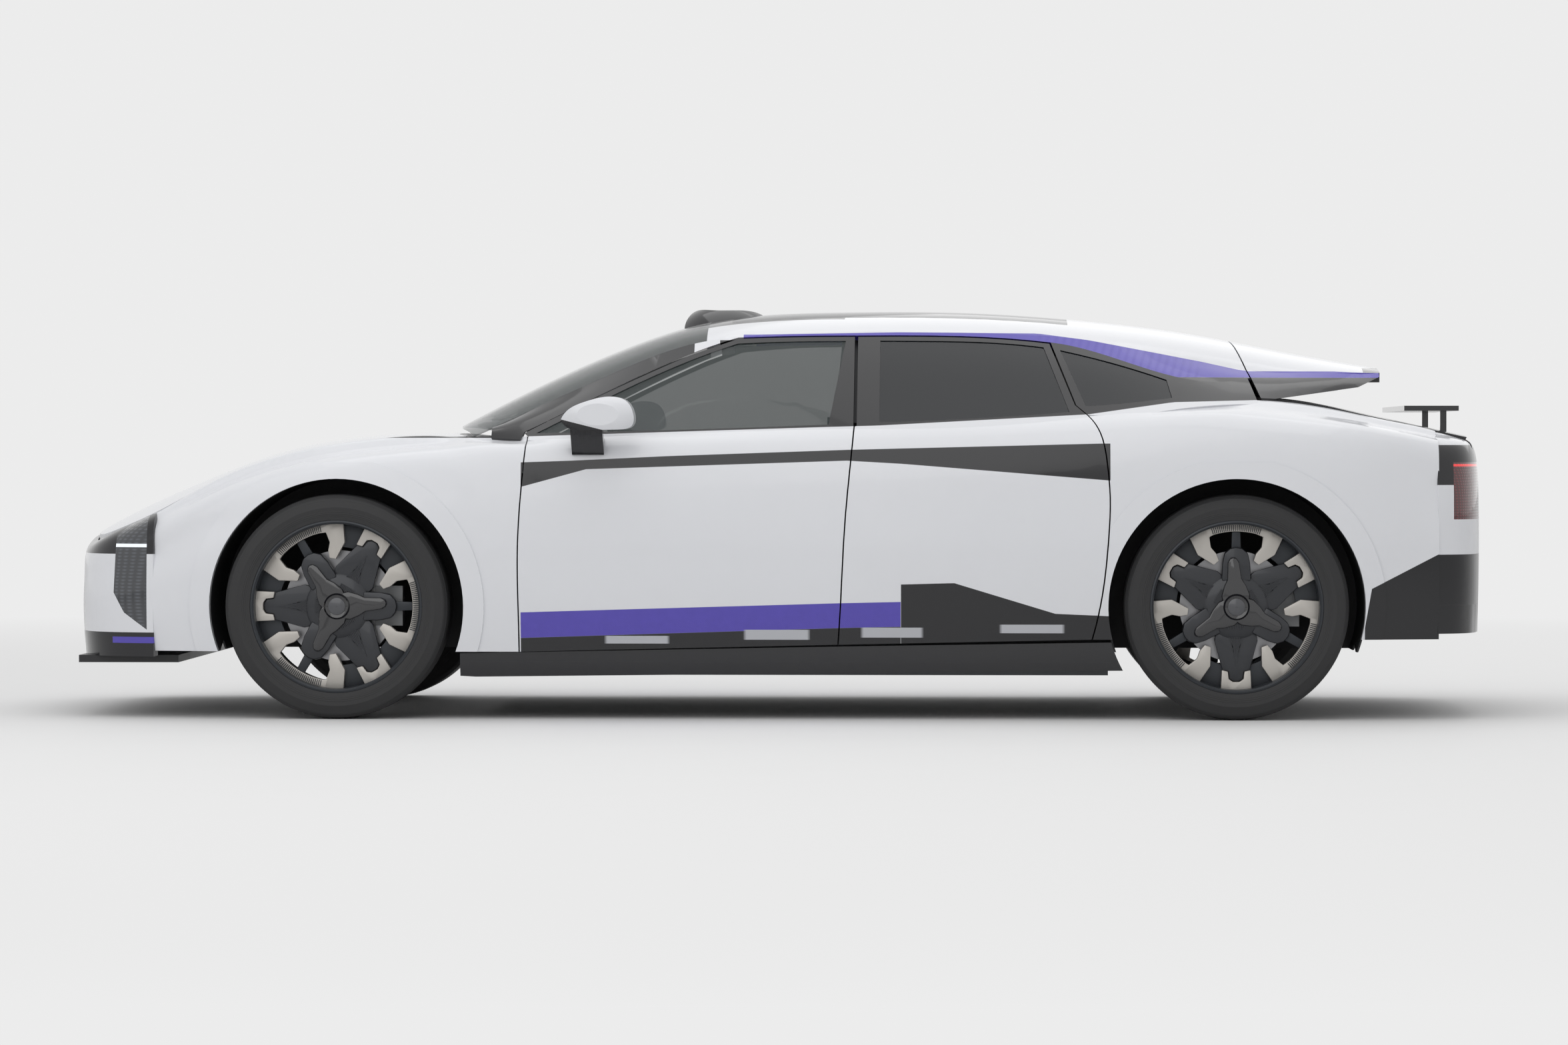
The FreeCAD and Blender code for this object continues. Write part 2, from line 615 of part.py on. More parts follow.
def build_frame():
    """Floor, bulkheads, posts and rails that everything else is fixed to."""
    rail_y0, rail_y1 = 400, WELL_Y - 6
    shape = block(bx(-1040), bx(1240), -by(846), by(846), FLOOR_LOW, FLOOR_TOP)
    shape = shape.fuse([
        block(bx(-1040), bx(-1016), -by(840), by(840), FLOOR_LOW, bz(880)),
        block(bx(-1040), bx(-950), -by(730), by(730), bz(855), bz(880)),
        block(bx(1216), bx(1240), -by(480), by(480), FLOOR_LOW, bz(470)),
        block(bx(1216), bx(2440), -rail_y1, rail_y1, bz(446), bz(470)),
        block(bx(1216), bx(1560), -by(700), by(700), bz(930), bz(950)),
        block(bx(1216), bx(1240), -by(480), by(480), bz(460), bz(950)),
        block(bx(-2470), bx(-2430), -by(480), by(480), bz(370), bz(480)),
        block(bx(2436), bx(2476), -by(480), by(480), bz(360), bz(470)),
    ])
    for side in (-1, 1):
        low, high = sorted((side * rail_y0, side * rail_y1))
        shape = shape.fuse([
            block(bx(-2450), bx(-1020), low, high, bz(380), bz(470)),
            block(bx(1230), bx(2450), low, high, bz(370), bz(447)),
        ])
        low, high = sorted((side * by(940), side * by(830)))
        shape = shape.fuse(block(bx(-1040), bx(-900), low, high, FLOOR_LOW, bz(850)))
        low, high = sorted((side * by(824), side * by(770)))
        shape = shape.fuse(block(bx(200), bx(350), low, high, FLOOR_LOW, bz(1058)))
        low, high = sorted((side * by(930), side * by(480)))
        shape = shape.fuse(block(bx(1200), bx(1240), low, high, FLOOR_LOW, bz(950)))
    head_box = side_polygon([(225, 1038), (345, 1038), (345, 1400), (255, 1400)])
    head = slab(greenhouse, dim("door_flange") + 12, 62).common(head_box)
    head = one(head.cut(slab(roof, -20, dim("roof_thickness"))))
    return wells_out(shape.fuse(head).fuse(mirrored(head)))


def build_sills():
    outer = side_polygon([(-1085, 150), (-1030, 147), (1285, 172), (1285, 272), (232, 255), (-1085, 230)])
    skin = slab(flank_low, 0, dim("sill_depth")).common(outer)
    return one(wells_out(skin))


def flank_low_row(x):
    waist = waist_y(x)
    controls = [(waist - 70, 130), (waist - 52, 180), (waist - 42, 230), (waist - 36, 290)]
    return [point(x, -y, z) for y, z in evenly(controls, 5)]


def build_liners():
    parts = []
    for axle in (FRONT_AXLE, REAR_AXLE):
        shell = across(axle, WELL_RADIUS, -1400, -WELL_Y + 6).cut(across(axle, ARCH_RADIUS, -1400, -WELL_Y))
        shell = shell.common(block(-3000, 3000, -1400, 0, bz(236), 2000))
        hole = block(axle - 90, axle + 90, -700, 0, TYRE_Z - 140, TYRE_Z + 125)
        front = axle == FRONT_AXLE
        limit = slab(flank, dim("fender_thickness"), 520)
        parts.append(biggest(shell.cut(hole).common(limit.fuse(block(axle - 500, axle + 500, -by(700), 0, 0, 1200))))[0])
    return parts


def tyre(label, x, side):
    r, w = dim("tyre_radius"), dim("tyre_width")
    inner = dim("rim_radius")
    bead = dim("rim_width") / 2
    profile = [(inner + 0.2, -bead + 14), (inner + 0.2, -bead), (inner + 22, -bead - 6), (r - 46, -w / 2),
               (r - 16, -w / 2 + 10), (r - 4, -w / 2 + 26), (r, -w / 2 + 60)]
    profile += [(px, -py) for px, py in reversed(profile)]
    profile += [(inner + 12, w / 2 - 30), (r - 14 - 8, w / 2 - 34), (r - 14 - 8, -w / 2 + 34), (inner + 12, -w / 2 + 30)]
    return ring(label, profile, x, side)


def ring(label, profile, x, side):
    """A revolved body on a wheel's axis: profile is (radius, outward distance from the wheel's middle)."""
    body = doc.addObject("PartDesign::Body", label)
    sketch = body.newObject("Sketcher::SketchObject", label + "_profile")
    plane = [f for f in body.Origin.OriginFeatures if f.Role == "XY_Plane"][0]
    sketch.AttachmentSupport = [(plane, "")]
    sketch.MapMode = "FlatFace"
    count = len(profile)
    for i, corner in enumerate(profile):
        following = profile[(i + 1) % count]
        sketch.addGeometry(Part.LineSegment(Vector(*corner, 0), Vector(*following, 0)), False)
    turned = body.newObject("PartDesign::Revolution", label + "_turned")
    turned.Profile = sketch
    turned.ReferenceAxis = (sketch, ["V_Axis"])
    turned.Angle = 360
    body.Tip = turned
    turn = Rotation(Vector(0, 0, 1), 180 if side < 0 else 0)
    body.Placement = Placement(Vector(x, side * WHEEL_Y, TYRE_Z), turn)
    doc.recompute()
    built[label] = body
    return body.Shape


def rim(label, x, side):
    inner, bead = dim("rim_radius"), dim("rim_width") / 2
    bore = dim("hub_bore")
    face = bead - dim("wheel_face_depth")
    profile = [(inner, -bead), (inner, bead), (inner - 12, bead), (inner - 16, -bead)]
    hub = [(bore, face - 60), (bore, face - 20), (20, face - 18), (20, face), (dim("hub_radius"), face), (dim("hub_radius"), face - 60)]
    disc = [(bore, -40), (dim("disc_radius"), -40), (dim("disc_radius"), -10), (dim("hub_radius"), -10),
            (dim("hub_radius"), face - 50), (bore, face - 50)]

    def turned(points):
        wire = Part.makePolygon([Vector(px, py, 0) for px, py in points + points[:1]])
        return Part.Face(wire).revolve(Vector(0, 0, 0), Vector(0, 1, 0), 360)

    shape = turned(profile).fuse([turned(hub), turned(disc)])
    for k in range(6):
        wide = 34 if k % 2 == 0 else 20
        arm = Part.makeBox(inner - 8 - 60, 22, 2 * wide, Vector(60, face - 24, -wide))
        arm.rotate(Vector(0, 0, 0), Vector(0, 1, 0), 60 * k + 30)
        shape = shape.fuse(arm)
    shape = shape.removeSplitter()
    if side < 0:
        shape.rotate(Vector(0, 0, 0), Vector(0, 0, 1), 180)
    shape.translate(Vector(x, side * WHEEL_Y, TYRE_Z))
    return keep(label, one(shape))


def knuckle_shape(x, side):
    """An upright with its spindle, on the left side when side is -1."""
    face = dim("rim_width") / 2 - dim("wheel_face_depth")
    upright = block(-42, 42, 60, 110, -104, 104)
    spindle = Part.makeCylinder(dim("spindle_radius"), 62 + face - 22, Vector(0, 62, 0), Vector(0, -1, 0))
    caliper = block(dim("disc_radius") - 70, dim("disc_radius") + 28, 0, 70, -70, 70)
    caliper = caliper.cut(block(0, dim("disc_radius") + 6, 4, 46, -200, 200))
    bracket = block(30, dim("disc_radius") - 20, 62, 100, -34, 34)
    shape = upright.fuse([spindle, caliper, bracket])
    if side > 0:
        shape = shape.mirror(Vector(0, 0, 0), Vector(0, 1, 0))
    shape.translate(Vector(x, side * WHEEL_Y, TYRE_Z))
    return one(shape)


def arms_shape(axle):
    solids = []
    inner, outer = -(WELL_Y - 6), -WHEEL_Y + 95
    for low, high in ((-132, -104.2), (104.2, 128)):
        arm = block(axle - 36, axle + 36, outer - 30, inner + 60, TYRE_Z + low, TYRE_Z + high)
        solids.append(arm)
    return solids


def seat(x, y, width):
    base = block(x, x + 500, y - width / 2, y + width / 2, FLOOR_TOP + 90, FLOOR_TOP + 230)
    stand = block(x + 60, x + 440, y - width / 2 + 60, y + width / 2 - 60, FLOOR_TOP, FLOOR_TOP + 90)
    back = block(0, 110, y - width / 2, y + width / 2, 0, 640)
    back.rotate(Vector(0, 0, 0), Vector(0, 1, 0), 22)
    back.translate(Vector(x + 420, 0, FLOOR_TOP + 170))
    return one(base.fuse([stand, back]))


def steering_wheel_shape():
    ring_shape = Part.makeTorus(dim("steering_wheel_radius"), dim("steering_wheel_grip"))
    hub = Part.makeCylinder(55, 40, Vector(0, 0, -20))
    spokes = Part.makeBox(2 * dim("steering_wheel_radius"), 40, 14, Vector(-dim("steering_wheel_radius"), -20, -7))
    shape = ring_shape.fuse([hub, spokes])
    shape.rotate(Vector(0, 0, 0), Vector(0, 1, 0), 65)
    shape.translate(Vector(bx(-330), by(-370), bz(800)))
    return one(shape)


def build_mirror():
    """The left mirror: a shell that narrows outwards, on a foot from the door's shoulder."""
    outline = [(-718, 1050), (-690, 1084), (-628, 1112), (-557, 1128), (-490, 1112), (-468, 1075),
               (-470, 1030), (-530, 1014), (-640, 1012), (-705, 1026), (-718, 1050)]
    head = side_prism([run_of(outline)], -by(1142), -by(985))
    stretch = FreeCAD.Matrix()
    stretch.scale(172, by(112), 92)
    stretch.move(Vector(bx(-588), -by(1040), bz(1066)))
    head = head.common(Part.makeSphere(1).transformGeometry(stretch))
    profile = [(-905, 930), (-962, 926), (-1062, 1016), (-1036, 1036), (-960, 984), (-900, 980)]
    corners = [Vector(0, by(y), bz(z)) for y, z in profile]
    foot = Part.Face(Part.makePolygon(corners + corners[:1])).extrude(Vector(112, 0, 0))
    foot.translate(Vector(bx(-690), 0, 0))
    return one(head.fuse(foot))


def build_pod():
    """The sensor housing over the windscreen's top edge."""
    outline = [(-335, 1360), (-326, 1425), (-306, 1446), (-240, 1452), (-150, 1451), (-70, 1441), (-40, 1424)]
    body = side_prism([run_of(outline), run_of([(-40, 1330)]), run_of([(-335, 1330)])], -by(170), by(170))
    stretch = FreeCAD.Matrix()
    stretch.scale(190, by(176), 130)
    stretch.move(Vector(bx(-186), 0, bz(1350)))
    body = body.common(Part.makeSphere(1).transformGeometry(stretch))
    return one(body.cut(slab(roof, 0, 250)))


fenders = build_fenders()
quarter, quarter_glass = build_quarters()
keep("front_fenders", both(fenders))
keep("rear_quarter_panels", both(quarter))
keep("quarter_windows", both(quarter_glass))
front_door, front_glass = build_door(front_door_outline(), core_outline(DOOR_FRONT, DOOR_SPLIT), FRONT_WINDOW)
rear_door, rear_glass = build_door(rear_door_outline(), core_outline(DOOR_SPLIT, DOOR_REAR), REAR_WINDOW)
mirror = build_mirror().cut(front_door).cut(front_glass)
mirror = one(mirror)
for name, shape in (("front_door", front_door), ("rear_door", rear_door), ("front_door_glass", front_glass),
                    ("rear_door_glass", rear_glass), ("door_mirror", mirror)):
    keep(name + "_left", shape)
    keep(name + "_right", mirrored(shape))
windscreen = keep("windscreen", build_windscreen())
roof_shape, roof_pane = build_roof(windscreen)
roof_shape = roof_shape.cut(fenders).cut(mirrored(fenders)).cut(quarter).cut(mirrored(quarter))
keep("roof_panel", one(roof_shape))
keep("roof_glass", roof_pane)
gate, rear_window, spoiler = build_tailgate()
keep("roof_spoiler", spoiler)
keep("tailgate", gate)
keep("rear_window", one(rear_window.cut(gate)))
foot_clear = plan_prism([(x - 2 * GAP, y) for x, y in WINDSCREEN_FOOT], 300, 1600)
hood = keep("hood", one(slab(bonnet, 0, dim("hood_thickness")).common(hood_trim).cut(foot_clear)))
hood_clear = slab(bonnet, -60, dim("hood_thickness") + GAP).common(HOOD_HOLE)
gate_clear = TAIL_HOLE.common(block(bx(1700), bx(2462), -1400, 1400, 0, 1600))
lamp_front = side_polygon([(-2330, 440), (-2320, 640), (-2204, 740), (-2204, 310), (-2290, 370)])
bumper = nose_fill.cut(hood_clear).cut(hood).cut(lamp_front).cut(lamp_front.mirror(Vector(0, 0, 0), Vector(0, 1, 0)))
bumper = one(bumper.cut(fenders).cut(mirrored(fenders)))
keep("front_bumper", bumper)
lamp = one(nose_fill.common(lamp_front).cut(hood_clear).cut(hood).cut(fenders))
keep("headlamps", both(lamp))
lamp_rear = side_polygon([(2380, 700), (2380, 900), (2560, 900), (2560, 700)])
cover = tail_fill.cut(gate_clear).cut(quarter).cut(mirrored(quarter)).cut(lamp_rear).cut(
    lamp_rear.mirror(Vector(0, 0, 0), Vector(0, 1, 0)))
keep("rear_bumper", one(cover))
tail_lamp = one(tail_fill.common(lamp_rear).common(block(-3000, 3000, -1400, -by(60), 0, 1600)))
keep("tail_lamps", both(tail_lamp))
flank_low = grid(flank_low_row, -1100, 1300)
sill = build_sills()
keep("side_sills", both(sill))
splitter = block(bx(-2470), bx(-2110), -by(760), by(760), bz(190), bz(216))
keep("front_splitter", one(splitter.cut(fenders).cut(mirrored(fenders)).cut(bumper)))
liner_front, liner_rear = build_liners()
frame = build_frame()
core_room = slab(flank, -10, dim("door_thickness") + 6).common(
    side_prism(core_outline(DOOR_FRONT, DOOR_SPLIT)).fuse(side_prism(core_outline(DOOR_SPLIT, DOOR_REAR))))
post_face = block(bx(190), bx(360), -by(830), -by(812), 0, bz(1036))
for other in (fenders, quarter, sill, core_room, post_face):
    frame = frame.cut(other).cut(mirrored(other))
frame = frame.cut(bumper).cut(cover)
frame = one(frame)
keep("body_frame", frame)
liners = []
for part, axle in ((liner_front, FRONT_AXLE), (liner_rear, REAR_AXLE)):
    for other in [frame, fenders, quarter] + arms_shape(axle):
        part = part.cut(other)
    liners.append(one(part))
keep("wheel_arch_liners", Part.makeCompound(liners + [mirrored(part) for part in liners]))
battery = block(bx(-960), bx(1190), -by(690), by(690), dim("ground_clearance"), FLOOR_LOW)
keep("battery_pack", wells_out(battery))
sides = {"left": -1, "right": 1}
axles = {"front": FRONT_AXLE, "rear": REAR_AXLE}
for end, axle in axles.items():
    arms = arms_shape(axle)
    solids = arms + [mirrored(arm) for arm in arms]
    if end == "rear":
        uprights = [knuckle_shape(axle, side) for side in sides.values()]
        solids = []
        for side, upright in zip(sides.values(), uprights):
            pair = arms if side < 0 else [mirrored(arm) for arm in arms]
            joined = upright
            for arm in pair:
                stretched = arm.copy()
                stretched.translate(Vector(0, 0, 0.4 if arm.BoundBox.ZMax < TYRE_Z else -0.4))
                joined = joined.fuse(stretched)
            solids.append(one(joined))
    keep(end + "_suspension_arms", Part.makeCompound([one(s.cut(frame)) for s in solids]))
    unit = Part.makeCylinder(125, 2 * 398, Vector(axle, -398, TYRE_Z), Vector(0, 1, 0))
    unit = unit.fuse(block(axle - 100, axle + 100, -400, 400, bz(384), bz(440)))
    keep(end + "_drive_unit", one(unit.cut(frame)))
    for name, side in sides.items():
        tyre("tyre_%s_%s" % (end, name), axle, side)
        rim("rim_%s_%s" % (end, name), axle, side)
        if end == "front":
            keep("knuckle_front_" + name, knuckle_shape(axle, side))
dash = block(bx(-1016), bx(-560), -by(730), by(730), bz(640), bz(860))
column = Part.makeCylinder(24, 330, Vector(0, 0, -350.2))
column.rotate(Vector(0, 0, 0), Vector(0, 1, 0), 65)
column.translate(Vector(bx(-330), by(-370), bz(800)))
column = column.cut(block(-3000, bx(-900), -1400, 1400, 0, 2000))
dash = dash.fuse(column)
keep("dashboard", one(dash.cut(frame).cut(slab(roof, -50, 200).common(roof_region(-1240, -200)))))
keep("centre_console", block(bx(-700), bx(700), -by(120), by(120), FLOOR_TOP, bz(560)))
keep("front_seats", both(seat(bx(-330), -by(400), dim("seat_width"))))
bench = seat(bx(640), 0, by(1180))
keep("rear_seats", one(wells_out(bench.cut(block(-3000, bx(700), -by(121), by(121), 0, bz(561))), WELL_RADIUS + 1).cut(frame)))
keep("steering_wheel", steering_wheel_shape())
keep("roof_sensor_pod", build_pod())
wing = block(bx(2235), bx(2425), -by(540), by(540), bz(1082), bz(1100))
posts = block(bx(2370), bx(2392), -by(420), -by(400), bz(985), bz(1084)).fuse(
    block(bx(2370), bx(2392), by(400), by(420), bz(985), bz(1084)))
keep("rear_wing", one(wing.fuse(posts).cut(gate)))

doc.recompute()
os.makedirs("parts", exist_ok=True)
for label, feature in built.items():
    shape = feature.Shape
    state = [str(s) for s in feature.State]
    if "Invalid" in state or "Error" in state or shape.isNull() or not shape.isValid():
        raise ValueError("%s isn't sound: %s" % (label, state))
    shape.exportStep("parts/%s.step" % label)
print(len(built), "sub-parts")
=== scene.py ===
import math

import bpy
from bpy.props import FloatProperty, FloatVectorProperty
from mathutils import Euler, Matrix, Vector


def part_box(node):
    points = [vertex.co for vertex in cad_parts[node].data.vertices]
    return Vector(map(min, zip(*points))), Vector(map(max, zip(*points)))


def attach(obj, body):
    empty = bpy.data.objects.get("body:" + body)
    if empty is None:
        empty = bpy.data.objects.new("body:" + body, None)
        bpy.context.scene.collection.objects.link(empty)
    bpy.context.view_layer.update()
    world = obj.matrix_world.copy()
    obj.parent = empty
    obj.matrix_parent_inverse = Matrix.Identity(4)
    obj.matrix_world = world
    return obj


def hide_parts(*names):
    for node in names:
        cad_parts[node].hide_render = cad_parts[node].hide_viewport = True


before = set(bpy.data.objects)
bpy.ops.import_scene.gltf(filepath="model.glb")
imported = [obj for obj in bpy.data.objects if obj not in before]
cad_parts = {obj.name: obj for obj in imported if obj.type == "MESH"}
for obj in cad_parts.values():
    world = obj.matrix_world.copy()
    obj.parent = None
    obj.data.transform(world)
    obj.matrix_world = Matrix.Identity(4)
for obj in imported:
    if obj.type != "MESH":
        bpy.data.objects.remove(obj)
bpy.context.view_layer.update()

bl_info = {
    "name": "Electric Sedan",
    "version": (1, 0, 0),
    "blender": (4, 5, 0),
    "location": "3D View > Sidebar > Sedan",
    "description": "Finishes and detail pieces for a four-door electric sedan",
    "category": "Object",
}


# ---------------------------------------------------------------- shader maths
class Value:
    """A shader socket that Python's operators build Math nodes on."""

    def __init__(self, tree, socket):
        self.tree = tree
        self.socket = socket

    def node(self, kind, settings, **inputs):
        """Any other node: its settings first, then the values or links of its sockets."""
        made = self.tree.nodes.new(kind)
        for key, value in settings.items():
            setattr(made, key, value)
        for key, value in inputs.items():
            name = key.replace("_", " ")
            target = made.inputs[int(key[1:])] if key[0] == "i" and key[1:].isdigit() else made.inputs[name]
            if isinstance(value, Value):
                self.tree.links.new(value.socket, target)
            else:
                target.default_value = value
        return made

    def math(self, operation, other=0.0, flip=False):
        first, second = (other, self) if flip else (self, other)
        made = self.node("ShaderNodeMath", {"operation": operation}, i0=first, i1=second)
        return Value(self.tree, made.outputs[0])

    def __add__(self, other):
        return self.math("ADD", other)

    def __sub__(self, other):
        return self.math("SUBTRACT", other)

    def __mul__(self, other):
        return self.math("MULTIPLY", other)

    def __truediv__(self, other):
        return self.math("DIVIDE", other)

    def __radd__(self, other):
        return self.math("ADD", other, True)

    def __rsub__(self, other):
        return self.math("SUBTRACT", other, True)

    def __rmul__(self, other):
        return self.math("MULTIPLY", other, True)

    def above(self, level, soft=0.0005):
        return ((self - level) / soft).math("MINIMUM", 1.0).math("MAXIMUM", 0.0)

    def between(self, low, high, soft=0.0005):
        return self.above(low, soft) * (1 - self.above(high, soft))


class Finish:
    """A new material with a Principled shader and the sockets that its pattern reads."""

    def __init__(self, name):
        self.material = bpy.data.materials.new(name)
        self.material.use_nodes = True
        tree = self.material.node_tree
        self.tree = tree
        self.shader = tree.nodes["Principled BSDF"]
        coordinates = tree.nodes.new("ShaderNodeTexCoord")
        self.place = Value(tree, coordinates.outputs["Object"])
        split = self.place.node("ShaderNodeSeparateXYZ", {}, Vector=self.place)
        self.x, self.y, self.z = (Value(tree, split.outputs[i]) for i in range(3))

    def noise(self, scale, detail=3.0, roughness=0.55):
        made = self.place.node("ShaderNodeTexNoise", {}, Vector=self.place, Scale=scale, Detail=detail,
                               Roughness=roughness)
        return Value(self.tree, made.outputs["Fac"])

    def mix(self, factor, first, second):
        made = self.place.node("ShaderNodeMix", {"data_type": "RGBA"}, i0=factor, i6=first, i7=second)
        return Value(self.tree, made.outputs[2])

    def colour(self, value):
        self.tree.links.new(value.socket, self.shader.inputs["Base Color"])

    def vary(self, socket, value):
        self.tree.links.new(value.socket, self.shader.inputs[socket])

    def bump(self, height, strength=0.2, distance=0.001):
        made = self.place.node("ShaderNodeBump", {}, Height=height, Strength=strength, Distance=distance)
        self.tree.links.new(made.outputs["Normal"], self.shader.inputs["Normal"])

    def set(self, **values):
        for key, value in values.items():
            self.shader.inputs[key.replace("_", " ")].default_value = value


def rgba(colour, gain=1.0):
    return (colour[0] * gain, colour[1] * gain, colour[2] * gain, 1.0)


def plain_finish(name, colour, rough, grain=240.0, metallic=0.0, coat=0.0, spread=0.06, bump=0.08):
    """Paint, plastic or metal with slight mottling, uneven gloss and fine grain."""
    finish = Finish(name)
    cloud = finish.noise(3.0)
    finish.colour(finish.mix(cloud, rgba(colour, 1 - spread), rgba(colour, 1 + spread)))
    finish.vary("Roughness", cloud * 0.06 + (rough - 0.03))
    finish.bump(finish.noise(grain), bump, 0.0004)
    finish.set(Metallic=metallic, Coat_Weight=coat, Coat_Roughness=0.05)
    return finish


def glass_finish(name, colour, alpha):
    """Automotive glass, tinted in its own colour and see-through by alpha."""
    finish = Finish(name)
    cloud = finish.noise(2.0)
    finish.colour(finish.mix(cloud, rgba(colour, 0.95), rgba(colour, 1.05)))
    finish.vary("Roughness", cloud * 0.02 + 0.01)
    finish.set(Alpha=alpha, IOR=1.5)
    return finish


class SedanFinish(bpy.types.PropertyGroup):
    paint: FloatVectorProperty(name="Paint", description="Main body colour", subtype="COLOR",
                               default=(0.74, 0.75, 0.78), min=0, max=1)
    accent: FloatVectorProperty(name="Accent", description="Colour of the stripes along the sides",
                                subtype="COLOR", default=(0.085, 0.062, 0.42), min=0, max=1)
    trim: FloatVectorProperty(name="Trim", description="Gloss black trim", subtype="COLOR",
                              default=(0.010, 0.010, 0.012), min=0, max=1)
    floor: FloatVectorProperty(name="Floor", description="Studio floor colour", subtype="COLOR",
                               default=(0.78, 0.78, 0.78), min=0, max=1)
    camera_distance: FloatProperty(name="Camera distance", description="From the near wheels to the camera",
                                   default=20.0, unit="LENGTH")


def settings():
    return bpy.context.scene.sedan_finish


# ---------------------------------------------------------------- painted bodywork
BELT = [(-1.000, 0.985), (-0.870, 0.990), (0.186, 1.023), (0.365, 1.028), (1.100, 1.067), (1.400, 1.110),
        (1.700, 1.118), (2.300, 1.121)]
BAND_TOP = [(-0.888, 0.899), (-0.708, 0.905), (-0.371, 0.921), (0.260, 0.943), (1.149, 0.965)]
BAND_LOW = [(-0.888, 0.812), (-0.656, 0.875), (0.257, 0.905), (0.450, 0.894), (1.173, 0.836)]
STRIPE_TOP = [(-0.888, 0.374), (0.225, 0.407), (0.443, 0.412)]
STRIPE_LOW = [(-0.888, 0.284), (0.225, 0.320), (0.443, 0.325)]
INSERT_TOP = [(0.446, 0.473), (0.632, 0.478), (0.985, 0.371), (1.200, 0.362)]
RAIL_TOP = [(-0.056, 1.352), (0.436, 1.360), (0.926, 1.356), (1.107, 1.332), (1.502, 1.257), (1.655, 1.224),
            (2.120, 1.218)]
RAIL_LOW = [(-0.117, 1.332), (0.203, 1.335), (0.973, 1.310), (1.107, 1.282), (1.243, 1.247), (1.388, 1.199),
            (2.150, 1.199)]
TAIL_DARK = [(2.060, 0.200), (2.065, 0.448), (2.320, 0.577), (2.600, 0.600)]


SILL_LAMPS = [(-0.593, -0.374, 0.265, 0.292), (-0.106, 0.118, 0.279, 0.314), (0.304, 0.514, 0.287, 0.322),
              (0.788, 1.007, 0.303, 0.333)]


def sill_lamps(x, z):
    """1 inside each of the long lamps at the foot of the doors."""
    return sum((x.between(x0, x1, 0.012) * z.between(z0, z1) for x0, x1, z0, z1 in SILL_LAMPS[1:]),
               x.between(*SILL_LAMPS[0][:2], 0.012) * z.between(*SILL_LAMPS[0][2:]))


def curve(x, track, span=6.0):
    """The track's height at each place along x, as one float curve node."""
    low, high = -3.0, -3.0 + span
    tree = x.tree
    made = tree.nodes.new("ShaderNodeFloatCurve")
    line = made.mapping.curves[0]
    full = [(low, track[0][1])] + list(track) + [(high, track[-1][1])]
    places = [((px - low) / span, pz / 2.0) for px, pz in full]
    while len(line.points) < len(places):
        line.points.new(0.5, 0.5)
    for dot, place in zip(line.points, places):
        dot.location = place
        dot.handle_type = "VECTOR"
    made.mapping.update()
    tree.links.new(((x - low) / span).socket, made.inputs["Value"])
    return Value(tree, made.outputs[0]) * 2.0


def over(z, x, track, soft=0.0008):
    return ((z - curve(x, track)) / soft).math("MINIMUM", 1.0).math("MAXIMUM", 0.0)


def either(first, second):
    return first.math("MAXIMUM", second)


def ribs(value, pitch):
    """A rounded ridge every pitch along value, from 0 to 1."""
    return ((value * (2 * math.pi / pitch)).math("SINE") + 1) * 0.5


def pearl(finish):
    keep = settings()
    return finish.mix(finish.noise(2.5), rgba(keep.paint, 0.975), rgba(keep.paint, 1.015))


def painted(finish, dark, accent, ridge=None, ridge_depth=0.0006, lamps=None):
    """Body paint: pearl, with gloss black where dark is 1 and the accent colour where accent is 1."""
    keep = settings()
    violet = finish.mix(finish.noise(30.0), rgba(keep.accent, 0.92), rgba(keep.accent, 1.08))
    base = finish.mix(dark, pearl(finish), rgba(keep.trim))
    shade = finish.mix(accent, base, violet)
    if lamps is not None:
        shade = finish.mix(lamps, shade, (0.46, 0.47, 0.50, 1.0))
    finish.colour(shade)
    finish.vary("Roughness", finish.noise(2.5) * 0.05 + 0.2 + accent * 0.12 - dark * 0.08)
    height = finish.noise(900.0, 1.0) * 0.02
    if ridge is not None:
        height = height + ridge
    finish.bump(height, 0.35, ridge_depth)
    finish.set(Coat_Weight=0.35, Coat_Roughness=0.03, Specular_IOR_Level=0.4)
    return finish.material


def side_paint(name):
    """The doors, the fenders and the rear quarters, striped by place."""
    finish = Finish(name)
    x, z = finish.x, finish.z
    door = x.between(-0.885, 1.176)
    band = door * over(z, x, BAND_LOW) * (1 - over(z, x, BAND_TOP))
    glasshouse = over(z, x, BELT)
    stripe_x = x.between(-0.885, 0.445)
    stripe = stripe_x * over(z, x, STRIPE_LOW) * (1 - over(z, x, STRIPE_TOP))
    below = stripe_x * (1 - over(z, x, STRIPE_LOW))
    insert = x.between(0.446, 1.200) * (1 - over(z, x, INSERT_TOP))
    rear = x.above(2.062) * (1 - over(z, x, TAIL_DARK))
    dark = either(either(either(band, glasshouse), below), either(insert, rear))
    half = stripe * (1 - over(z, x, [(-0.888, 0.329), (0.225, 0.363), (0.443, 0.368)]))
    ridge = ribs(x + z * 0.9, 0.0065) * half
    return painted(finish, dark, stripe, ridge, lamps=sill_lamps(x, z))


def roof_paint(name):
    finish = Finish(name)
    x, y, z = finish.x, finish.y, finish.z
    side = y.math("ABSOLUTE")
    rail = side.above(0.53) * x.between(-0.117, 2.2)
    violet = rail * over(z, x, RAIL_LOW) * (1 - over(z, x, RAIL_TOP))
    under = side.above(0.50) * (1 - over(z, x, RAIL_LOW)) * x.above(-0.2)
    pillar = 1 - x.above(-0.29)
    header = (1 - side.above(0.50)) * (1 - x.above(0.24))
    dark = either(either(under, pillar), header)
    ridge = ribs(x - z * 0.35, 0.030) * violet * x.between(0.926, 1.502)
    return painted(finish, dark, violet, ridge, 0.004)


